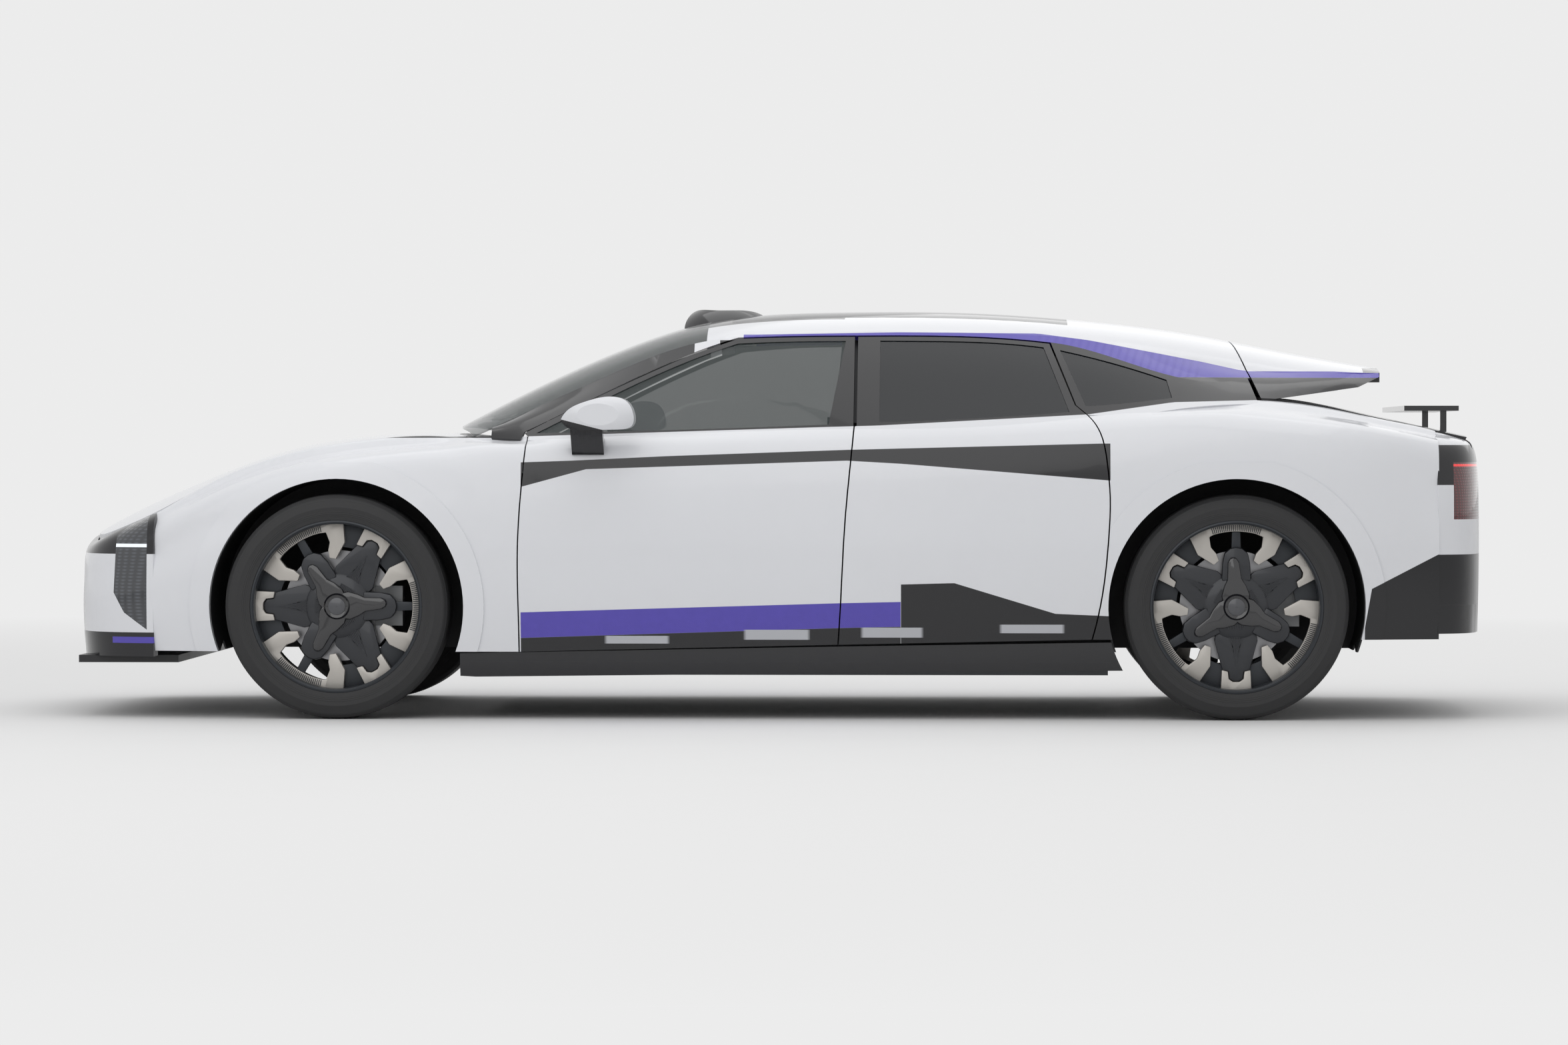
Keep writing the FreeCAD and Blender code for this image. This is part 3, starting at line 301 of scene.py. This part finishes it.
def tail_paint(name):
    """The tailgate and the spoiler: white above the accent line, black below it."""
    finish = Finish(name)
    x, y, z = finish.x, finish.y, finish.z
    side = y.math("ABSOLUTE").above(0.52)
    violet = side * z.between(1.199, 1.222)
    dark = either(1 - z.above(1.199), x.above(2.085) * (1 - z.above(1.235)))
    return painted(finish, dark, violet)


def nose_paint(name):
    finish = Finish(name)
    x, y, z = finish.x, finish.y, finish.z
    side = y.math("ABSOLUTE")
    upper = z.above(0.576) * (1 - z.above(0.9))
    lower = 1 - z.above(0.300)
    violet = side.above(0.55) * x.between(-2.338, -2.034) * z.between(0.262, 0.284)
    dark = either(upper, lower)
    ridge = ribs(z, 0.012) * lower * (1 - side.above(0.62))
    return painted(finish, dark, violet, ridge, 0.003)


def rear_bumper_paint(name):
    finish = Finish(name)
    z = finish.z
    dark = either(1 - z.above(0.577), z.between(0.820, 0.960))
    ridge = ribs(finish.y, 0.09) * (1 - z.above(0.40))
    return painted(finish, dark, dark * 0.0, ridge, 0.004)


def hood_paint(name):
    finish = Finish(name)
    dark = finish.x.math("ABSOLUTE") * 0.0
    return painted(finish, dark, dark)


def lamp_lens(name, colour, glow, pitch):
    """A lamp seen through its cover: fine vertical cells with a lit strip."""
    finish = Finish(name)
    y, z = finish.y, finish.z
    cells = ribs(z, pitch) * ribs(y, pitch)
    finish.colour(finish.mix(cells, rgba(colour, 0.55), rgba(colour, 1.6)))
    finish.vary("Roughness", cells * 0.1 + 0.06)
    finish.bump(cells, 0.5, 0.002)
    strip = finish.z.between(*glow[0])
    finish.vary("Emission Color", finish.mix(strip, (0, 0, 0, 1), rgba(glow[1])))
    finish.set(Emission_Strength=1.0, Coat_Weight=1.0, Coat_Roughness=0.02)
    return finish.material


def give(material, *nodes):
    for name in nodes:
        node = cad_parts[name]
        node.data.materials.clear()
        node.data.materials.append(material)


def pairs(*names):
    return [name + side for name in names for side in ("_left", "_right")]


def skin_finishes():
    """Every painted panel's material, by the nodes that take it."""
    nodes = {
        side_paint("side_pearl_and_stripes"): ["front_fenders", "rear_quarter_panels",
                                               *pairs("front_door", "rear_door")],
        roof_paint("roof_pearl_and_black"): ["roof_panel"],
        tail_paint("tail_pearl_and_black"): ["tailgate", "roof_spoiler"],
        nose_paint("nose_pearl_and_black"): ["front_bumper"],
        rear_bumper_paint("rear_pearl_and_black"): ["rear_bumper"],
        hood_paint("hood_pearl"): ["hood"],
        mirror_paint("mirror_pearl_and_black"): pairs("door_mirror"),
        sill_paint("sill_black_and_lamps"): ["side_sills"],
    }
    for material, names in nodes.items():
        give(material, *names)


def mirror_paint(name):
    low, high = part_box("door_mirror_left")
    middle = low[2] + 0.45 * (high[2] - low[2])
    finish = Finish(name)
    lower = 1 - (finish.z + finish.x * 0.25).above(middle + 0.25 * (low[0] + high[0]) / 2)
    ridge = ribs(finish.x, 0.008) * lower
    return painted(finish, lower, lower * 0.0, ridge, 0.0012)


def sill_paint(name):
    keep = settings()
    finish = Finish(name)
    grain = finish.noise(260.0)
    shade = finish.mix(grain, rgba(keep.trim, 0.9), rgba(keep.trim, 1.4))
    finish.colour(finish.mix(sill_lamps(finish.x, finish.z), shade, (0.46, 0.47, 0.50, 1.0)))
    finish.vary("Roughness", grain * 0.1 + 0.3)
    finish.bump(ribs(finish.x, 0.05) * (1 - finish.z.above(0.2)) + grain * 0.05, 0.3, 0.003)
    finish.set(Coat_Weight=0.4)
    return finish.material


class SEDAN_OT_finishes(bpy.types.Operator):
    """Gives every body piece its finish"""

    bl_idname = "sedan.finishes"
    bl_label = "Body finishes"

    def execute(self, context):
        keep = settings()
        skin_finishes()
        black = plain_finish("gloss_black_trim", keep.trim, 0.12, coat=0.6).material
        give(black, "roof_sensor_pod", "rear_wing")
        give(plain_finish("satin_black_splitter", (0.016, 0.016, 0.018), 0.35, bump=0.2).material, "front_splitter")
        give(glass_finish("light_glass", (0.05, 0.065, 0.065), 0.45).material, "windscreen",
             *pairs("front_door_glass"))
        give(glass_finish("privacy_glass", (0.008, 0.010, 0.013), 0.88).material, "roof_glass",
             "quarter_windows", "rear_window", *pairs("rear_door_glass"))
        give(lamp_lens("headlamp_cells", (0.05, 0.055, 0.065), ((0.600, 0.612), (0.9, 0.95, 1.0)), 0.012),
             "headlamps")
        give(lamp_lens("tail_lamp_cells", (0.10, 0.006, 0.010), ((0.885, 0.893), (0.8, 0.02, 0.02)), 0.010),
             "tail_lamps")
        matt = plain_finish("matt_black_plastic", (0.018, 0.018, 0.02), 0.6, bump=0.3).material
        give(matt, "wheel_arch_liners")
        give(plain_finish("soft_dark_trim", (0.030, 0.030, 0.034), 0.62, 500.0, bump=0.5).material,
             "dashboard", "centre_console", "steering_wheel")
        give(plain_finish("painted_chassis", (0.035, 0.036, 0.040), 0.5, 60.0, metallic=0.3).material, "body_frame")
        give(plain_finish("battery_case_metal", (0.10, 0.105, 0.11), 0.45, 80.0, metallic=0.8).material,
             "battery_pack")
        give(plain_finish("cast_suspension_metal", (0.22, 0.225, 0.23), 0.5, 180.0, metallic=0.7, bump=0.5).material,
             "front_suspension_arms", "rear_suspension_arms", *pairs("knuckle_front"))
        give(plain_finish("cast_drive_housing", (0.30, 0.30, 0.31), 0.5, 150.0, metallic=0.7, bump=0.6).material,
             "front_drive_unit", "rear_drive_unit")
        give(tyre_rubber(), *pairs("tyre_front", "tyre_rear"))
        return {"FINISHED"}


def tyre_rubber():
    """Black rubber with fine rings on the wall and ribs at the shoulder."""
    finish = Finish("tyre_rubber")
    low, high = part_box("tyre_front_left")
    centre = low[2] + (high[2] - low[2]) / 2
    rear = finish.x - 1.617
    front = finish.x + 1.533
    pick = finish.x.above(0.0)
    out = front * (1 - pick) + rear * pick
    up = finish.z - centre
    radius = (out * out + up * up).math("SQRT")
    cloud = finish.noise(6.0)
    finish.colour(finish.mix(cloud, (0.018, 0.018, 0.019, 1), (0.030, 0.030, 0.031, 1)))
    finish.vary("Roughness", cloud * 0.15 + 0.62)
    rings = ribs(radius, 0.006) * radius.between(0.318, 0.335) + ribs(radius, 0.010) * radius.above(0.372) * 0.6
    finish.bump(rings + finish.noise(400.0) * 0.15, 0.5, 0.0015)
    return finish.material


# ---------------------------------------------------------------- seats
def cushion(name, low, high, crown, pitch=0.0, pivot=(0, 0, 0)):
    """A crowned pad between two corners, its sides drawn in between the corners."""
    start()
    centre = [(a + b) / 2 for a, b in zip(low, high)]
    half = [(b - a) / 2 for a, b in zip(low, high)]
    bpy.ops.mesh.primitive_cube_add(size=2.0)
    piece = bpy.context.active_object
    piece.name = name
    bpy.ops.object.mode_set(mode="EDIT")
    bpy.ops.mesh.select_all(action="SELECT")
    bpy.ops.mesh.subdivide(number_cuts=7)
    bpy.ops.object.mode_set(mode="OBJECT")
    turn = Euler((0, math.radians(pitch), 0)).to_matrix()
    for vertex in piece.data.vertices:
        a, b, c = vertex.co
        swell = [(1 - q * q) for q in (a, b, c)]
        scale = [1 - crown * (1 - swell[1] * swell[2]), 1 - crown * (1 - swell[0] * swell[2]),
                 1 - crown * (1 - swell[0] * swell[1])]
        place = Vector([m + h * q * s for m, h, q, s in zip(centre, half, (a, b, c), scale)])
        vertex.co = turn @ (place - Vector(pivot)) + Vector(pivot)
    apply_modifier(piece, "SUBSURF", levels=2, render_levels=2)
    return piece


def leather():
    finish = Finish("pale_seat_leather")
    cloud = finish.noise(4.0)
    grain = finish.noise(450.0, 4.0, 0.7)
    finish.colour(finish.mix(cloud, (0.36, 0.33, 0.30, 1), (0.44, 0.41, 0.37, 1)))
    finish.vary("Roughness", cloud * 0.12 + 0.42)
    seams = ribs(finish.y, 0.075).math("POWER", 14.0)
    finish.bump(grain * 0.3 - seams * 1.0, 0.6, 0.004)
    return finish.material


class SEDAN_OT_seats(bpy.types.Operator):
    """Pads the front and rear seats"""

    bl_idname = "sedan.seats"
    bl_label = "Seats"

    def execute(self, context):
        hide = leather()
        pads = []
        for side, name in ((-1, "left"), (1, "right")):
            y0, y1 = sorted((side * 0.145, side * 0.655))
            pads += [cushion("front_base_" + name, (-0.33, y0, 0.30), (0.17, y1, 0.53), 0.06),
                     cushion("front_back_" + name, (0.12, y0 + 0.02, 0.42), (0.26, y1 - 0.02, 0.96), 0.08, 16,
                             (0.2, 0, 0.45)),
                     cushion("front_head_" + name, (0.325, side * 0.40 - 0.13, 0.89),
                             (0.405, side * 0.40 + 0.13, 1.04), 0.12)]
        pads += [cushion("rear_base", (0.66, -0.58, 0.30), (1.14, 0.58, 0.50), 0.05),
                 cushion("rear_back", (1.06, -0.58, 0.42), (1.18, 0.58, 0.84), 0.06, 16, (1.12, 0, 0.42))]
        for k, y in enumerate((-0.36, 0.36)):
            pads.append(cushion("rear_head_%d" % (k + 1), (1.24, y - 0.12, 0.80), (1.32, y + 0.12, 0.92), 0.12))
        for pad in pads:
            finished(pad, hide, "body", 60.0)
        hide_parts("front_seats")
        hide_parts("rear_seats")
        return {"FINISHED"}


# ---------------------------------------------------------------- mesh helpers
def start():
    if bpy.context.object and bpy.context.object.mode != "OBJECT":
        bpy.ops.object.mode_set(mode="OBJECT")
    bpy.ops.object.select_all(action="DESELECT")


def apply_modifier(piece, kind, **values):
    modifier = piece.modifiers.new(kind.lower(), kind)
    for key, value in values.items():
        setattr(modifier, key, value)
    bpy.context.view_layer.objects.active = piece
    bpy.ops.object.modifier_apply(modifier=modifier.name)


def plate(name, outline, low, high, bevel=0.002, taper=1.0):
    """A flat piece: its outline (u, v) raised from low to high along w, with bevelled edges."""
    start()
    bpy.ops.mesh.primitive_circle_add(vertices=len(outline), radius=1.0, fill_type="NGON")
    piece = bpy.context.active_object
    piece.name = name
    order = outline if area(outline) > 0 else outline[::-1]
    for vertex, (u, v) in zip(piece.data.vertices, order):
        vertex.co = (u, v, low)
    bpy.ops.object.mode_set(mode="EDIT")
    bpy.ops.mesh.select_all(action="SELECT")
    bpy.ops.mesh.extrude_region_move(TRANSFORM_OT_translate={"value": (0, 0, high - low)})
    if taper != 1.0:
        bpy.ops.transform.resize(value=(taper, taper, 1.0))
    bpy.ops.mesh.select_all(action="SELECT")
    bpy.ops.mesh.normals_make_consistent(inside=False)
    bpy.ops.object.mode_set(mode="OBJECT")
    if bevel:
        apply_modifier(piece, "BEVEL", width=bevel, segments=2, limit_method="ANGLE",
                       angle_limit=math.radians(30))
    return piece


def area(outline):
    following = outline[1:] + outline[:1]
    return sum(a[0] * b[1] - b[0] * a[1] for a, b in zip(outline, following)) / 2


def copied(piece, name):
    double = piece.copy()
    double.data = piece.data.copy()
    double.name = name
    bpy.context.collection.objects.link(double)
    return double


def joined(name, pieces):
    start()
    for piece in pieces:
        piece.select_set(True)
    bpy.context.view_layer.objects.active = pieces[0]
    if len(pieces) > 1:
        bpy.ops.object.join()
    made = bpy.context.active_object
    made.name = name
    made.data.name = name
    return made


def smooth(piece, degrees=35.0):
    start()
    piece.select_set(True)
    bpy.context.view_layer.objects.active = piece
    bpy.ops.object.shade_smooth_by_angle(angle=math.radians(degrees))
    return piece


def finished(piece, material, body, degrees=35.0):
    piece.data.materials.clear()
    piece.data.materials.append(material)
    smooth(piece, degrees)
    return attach(piece, body)


# ---------------------------------------------------------------- wheels
CAP = [(0.221, 0.050), (0.300, 0.054), (0.304, 0.020), (0.304, -0.020), (0.300, -0.054), (0.221, -0.050),
       (0.226, -0.029), (0.252, -0.026), (0.262, -0.012), (0.262, 0.012), (0.252, 0.026), (0.226, 0.029)]
BLADE = [(0.088, 0.070), (0.118, 0.076), (0.224, 0.047), (0.227, 0.028), (0.251, 0.025), (0.261, 0.011),
         (0.261, -0.011), (0.251, -0.025), (0.227, -0.028), (0.224, -0.047), (0.118, -0.076), (0.088, -0.070)]
LOOP = [(0.090, 0.052), (0.150, 0.050), (0.188, 0.042), (0.206, 0.022), (0.210, 0.0), (0.206, -0.022),
        (0.188, -0.042), (0.150, -0.050), (0.090, -0.052)]
ARM = [(0.0, 0.046), (0.040, 0.052), (0.075, 0.040), (0.100, 0.026), (0.160, 0.021), (0.176, 0.012), (0.180, 0.0),
       (0.176, -0.012), (0.160, -0.021), (0.100, -0.026), (0.075, -0.040), (0.040, -0.052), (0.0, -0.046)]
BAR = [(0.196, 0.017), (0.262, 0.015), (0.266, 0.0), (0.262, -0.015), (0.196, -0.017)]


def polar(radius, degrees):
    return radius * math.cos(math.radians(degrees)), radius * math.sin(math.radians(degrees))


def hook_outline():
    """The pale segment: an outer arc with a hooked leg at each end."""
    outer = [polar(0.300, a) for a in range(-31, 32, 4)]
    leg = [(0.292, 34.0), (0.226, 36.5), (0.166, 28.0), (0.172, 20.5), (0.199, 20.5), (0.226, 23.0), (0.262, 21.0)]
    inner = [polar(0.264, a) for a in range(17, -18, -4)]
    back = [polar(r, -a) for r, a in reversed(leg)]
    return outer + [polar(r, a) for r, a in leg] + inner + back


def sector(inner, outer, first, last, steps=6):
    angles = [first + (last - first) * i / steps for i in range(steps + 1)]
    return [polar(outer, a) for a in angles] + [polar(inner, a) for a in reversed(angles)]


def turned(outline, degrees):
    c, s = math.cos(math.radians(degrees)), math.sin(math.radians(degrees))
    return [(u * c - v * s, u * s + v * c) for u, v in outline]


def ring_band(name, profile, steps=96):
    """A turned piece: profile is (radius, w) points, spun about w."""
    start()
    bpy.ops.mesh.primitive_circle_add(vertices=len(profile), radius=1.0, fill_type="NOTHING")
    piece = bpy.context.active_object
    piece.name = name
    for vertex, (radius, w) in zip(piece.data.vertices, profile):
        vertex.co = (radius, 0, w)
    bpy.ops.object.mode_set(mode="EDIT")
    bpy.ops.mesh.select_all(action="SELECT")
    bpy.ops.mesh.spin(steps=steps, angle=2 * math.pi, center=(0, 0, 0), axis=(0, 0, 1))
    bpy.ops.mesh.select_all(action="SELECT")
    bpy.ops.mesh.remove_doubles(threshold=0.0001)
    bpy.ops.mesh.normals_make_consistent(inside=False)
    bpy.ops.object.mode_set(mode="OBJECT")
    return piece


def wheel_pieces():
    """The wheel's visible groups, face up along w, as {finish: object}."""
    pale, dark, gloss, ribs, bars = [], [], [], [], []
    for k in range(3):
        spoke, arm = 60 + 120 * k, 120 * k
        pale.append(plate("cap", turned(CAP, spoke), 0.040, 0.071, 0.003))
        pale.append(plate("hook", turned(hook_outline(), arm), 0.034, 0.066, 0.003))
        dark.append(plate("blade", turned(BLADE, spoke), 0.030, 0.060, 0.004, 0.99))
        dark.append(plate("loop", turned(LOOP, arm), 0.034, 0.072, 0.006, 0.97))
        bars.append(plate("bar", turned(BAR, arm), 0.036, 0.056, 0.003))
        gloss.append(plate("cover_arm", turned(ARM, arm + 4), 0.060, 0.088, 0.006, 0.93))
        for side in (-1, 1):
            first, last = sorted((arm + side * 33.5, spoke - 120 * (side < 0) - side * 10.5))
            bars.append(plate("rim_plate", sector(0.208, 0.297, first, last), 0.022, 0.040, 0.002))
        for j in range(9):
            w = 0.0033
            v = -0.024 + 0.006 * j
            reach = 0.205 - abs(v) * 2.6
            ribs.append(plate("rib", turned([(0.106, v + w / 2), (reach, v * 0.5 + w / 2), (reach, v * 0.5 - w / 2),
                                             (0.106, v - w / 2)], spoke), 0.058, 0.064, 0.0))
        for j in range(26):
            angle = arm - 17.5 + 1.4 * j
            ribs.append(plate("groove", turned([(0.266, 0.0016), (0.287, 0.0016), (0.287, -0.0016), (0.266, -0.0016)],
                                               angle), 0.0655, 0.0675, 0.0))
        for j in range(10):
            v = -0.026 + 0.0058 * j
            ribs.append(plate("cover_rib", turned([(0.060, v + 0.0018), (0.078, v + 0.0018), (0.078, v - 0.0018),
                                                   (0.060, v - 0.0018)], spoke), 0.073, 0.079, 0.0))
    dark.append(ring_band("hub_dome", [(0.001, 0.034), (0.112, 0.034), (0.112, 0.060), (0.098, 0.070),
                                       (0.060, 0.074), (0.001, 0.075)]))
    gloss.append(ring_band("hub_ring", [(0.001, 0.060), (0.046, 0.060), (0.046, 0.090), (0.040, 0.096),
                                        (0.034, 0.092), (0.001, 0.092)]))
    pale_cap = ring_band("blank_cap", [(0.001, 0.080), (0.030, 0.080), (0.030, 0.093), (0.026, 0.0955),
                                       (0.001, 0.0965)])
    barrel = ring_band("barrel", [(0.3025, 0.116), (0.296, 0.118), (0.290, 0.112), (0.288, 0.060), (0.276, -0.020),
                                  (0.272, -0.095), (0.286, -0.110), (0.290, -0.1165), (0.3025, -0.117),
                                  (0.3025, -0.110), (0.284, -0.060), (0.292, 0.040), (0.2995, 0.100)])
    disc = ring_band("brake_disc", [(0.080, -0.010), (0.195, -0.010), (0.195, -0.038), (0.080, -0.038)])
    return {
        "pale": joined("pale", pale), "dark": joined("dark", dark + ribs), "gloss": joined("gloss", gloss),
        "bars": joined("bars", bars + [barrel]), "blank": pale_cap, "disc": disc,
    }


class SEDAN_OT_wheels(bpy.types.Operator):
    """Builds the detailed wheels in place of the plain rims"""

    bl_idname = "sedan.wheels"
    bl_label = "Wheels"

    def execute(self, context):
        alloy = plain_finish("warm_silver_alloy", (0.50, 0.475, 0.44), 0.34, 260.0, metallic=0.35, bump=0.12).material
        dark = plain_finish("dark_wheel_grey", (0.024, 0.026, 0.031), 0.34, 200.0, metallic=0.3, coat=0.3).material
        grey = plain_finish("rim_plate_grey", (0.030, 0.034, 0.040), 0.42, 220.0, metallic=0.3).material
        gloss = plain_finish("gloss_hub_cover", (0.008, 0.008, 0.010), 0.08, coat=1.0).material
        iron = plain_finish("brushed_disc_iron", (0.32, 0.32, 0.33), 0.3, 400.0, metallic=1.0, bump=0.3).material
        cap = plain_finish("cap_grey", (0.06, 0.062, 0.07), 0.25, coat=0.5).material
        finishes = {"pale": alloy, "dark": dark, "gloss": gloss, "bars": grey, "blank": cap, "disc": iron}
        masters = wheel_pieces()
        for end in ("front", "rear"):
            low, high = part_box("tyre_" + end + "_left")
            centre_x, centre_z = (low[0] + high[0]) / 2, (low[2] + high[2]) / 2
            for side_name, side in (("left", -1), ("right", 1)):
                low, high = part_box("tyre_" + end + "_" + side_name)
                centre = Vector((centre_x, (low[1] + high[1]) / 2, centre_z))
                spin = math.radians(0 if end == "front" else -30)
                stand = Matrix.Translation(centre) @ Euler((math.radians(90) * -side, 0, 0)).to_matrix().to_4x4()
                for group, master in masters.items():
                    piece = copied(master, "wheel_%s_%s_%s" % (group, end, side_name))
                    piece.data.transform(stand @ Euler((0, 0, spin)).to_matrix().to_4x4())
                    finished(piece, finishes[group], "wheel_%s_%s" % (end, side_name))
                    if group == "bars":
                        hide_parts("rim_%s_%s" % (end, side_name))
        for master in masters.values():
            bpy.data.objects.remove(master)
        return {"FINISHED"}


class SEDAN_OT_stage(bpy.types.Operator):
    """Adds the floor, the backdrop, the lamps and the camera"""

    bl_idname = "sedan.stage"
    bl_label = "Studio"

    def fade(self, finish):
        """The far floor takes the background's brightness where the camera sees it."""
        reach = (finish.x * finish.x * 0.4 + finish.y * finish.y).math("SQRT")
        far = ((reach - 2.2) / 9.0).math("MINIMUM", 1.0).math("MAXIMUM", 0.0).math("POWER", 0.7)
        paths = finish.place.node("ShaderNodeLightPath", {})
        seen = Value(finish.tree, paths.outputs["Is Camera Ray"])
        glow = finish.place.node("ShaderNodeEmission", {}, Color=(1, 1, 1, 1), Strength=0.84)
        blend = finish.place.node("ShaderNodeMixShader", {}, i0=far * seen)
        finish.tree.links.new(finish.shader.outputs[0], blend.inputs[1])
        finish.tree.links.new(glow.outputs[0], blend.inputs[2])
        finish.tree.links.new(blend.outputs[0], finish.tree.nodes["Material Output"].inputs["Surface"])

    def execute(self, context):
        keep = settings()
        bpy.ops.object.select_all(action="DESELECT")
        bpy.ops.mesh.primitive_plane_add(size=400.0, location=(0, 0, -0.001))
        floor = context.active_object
        floor.name = "studio_floor"
        finish = plain_finish("studio_floor", keep.floor, 0.7, 12.0, spread=0.01, bump=0.02)
        self.fade(finish)
        floor.data.materials.append(finish.material)
        world = bpy.data.worlds.new("studio")
        context.scene.world = world
        world.use_nodes = True
        tree = world.node_tree
        background = tree.nodes["Background"]
        paths = tree.nodes.new("ShaderNodeLightPath")
        bright = tree.nodes.new("ShaderNodeMix")
        seen = Value(tree, paths.outputs["Is Camera Ray"])
        glossy = Value(tree, paths.outputs["Is Glossy Ray"])
        clear = Value(tree, paths.outputs["Is Transmission Ray"])
        tree.links.new((seen + glossy + clear).math("MINIMUM", 1.0).socket, bright.inputs[0])
        bright.inputs[2].default_value = 0.62
        bright.inputs[3].default_value = 0.84
        tree.links.new(bright.outputs[0], background.inputs["Strength"])
        background.inputs["Color"].default_value = (1, 1, 1, 1)
        lamps = [("near_softbox", (-2.5, -7, 6.5), 9.0, 210), ("far_softbox", (3, 6, 6), 8.0, 100),
                 ("top_softbox", (0, 0, 7.5), 7.0, 140)]
        for name, place, size, power in lamps:
            data = bpy.data.lights.new(name, "AREA")
            data.size = size
            data.energy = power
            lamp = bpy.data.objects.new(name, data)
            context.collection.objects.link(lamp)
            lamp.location = place
            lamp.rotation_euler = (Vector((0, 0, 0.5)) - Vector(place)).to_track_quat("-Z", "Y").to_euler()
        data = bpy.data.cameras.new("camera")
        data.lens = 131.6
        data.sensor_width = 36.0
        data.clip_end = 500
        camera = bpy.data.objects.new("camera", data)
        context.collection.objects.link(camera)
        camera.location = (0.684, -0.985 - keep.camera_distance, 0.962)
        camera.rotation_euler = Euler((math.radians(90 - 0.78), 0, math.radians(1.85)), "XYZ")
        context.scene.camera = camera
        context.scene.view_settings.view_transform = "Standard"
        return {"FINISHED"}


OPERATORS = (SEDAN_OT_finishes, SEDAN_OT_wheels, SEDAN_OT_seats, SEDAN_OT_stage)


class SEDAN_PT_panel(bpy.types.Panel):
    """Lists the sedan's pieces"""

    bl_label = "Electric sedan"
    bl_idname = "SEDAN_PT_panel"
    bl_space_type = "VIEW_3D"
    bl_region_type = "UI"
    bl_category = "Sedan"

    def draw(self, context):
        for operator in OPERATORS:
            self.layout.operator(operator.bl_idname)


CLASSES = (SedanFinish, *OPERATORS, SEDAN_PT_panel)


def register():
    for each in CLASSES:
        bpy.utils.register_class(each)
    bpy.types.Scene.sedan_finish = bpy.props.PointerProperty(type=SedanFinish)


def unregister():
    del bpy.types.Scene.sedan_finish
    for each in reversed(CLASSES):
        bpy.utils.unregister_class(each)


def main():
    register()
    bpy.ops.sedan.finishes()
    bpy.ops.sedan.wheels()
    bpy.ops.sedan.seats()
    bpy.ops.sedan.stage()


if __name__ == "__main__":
    main()
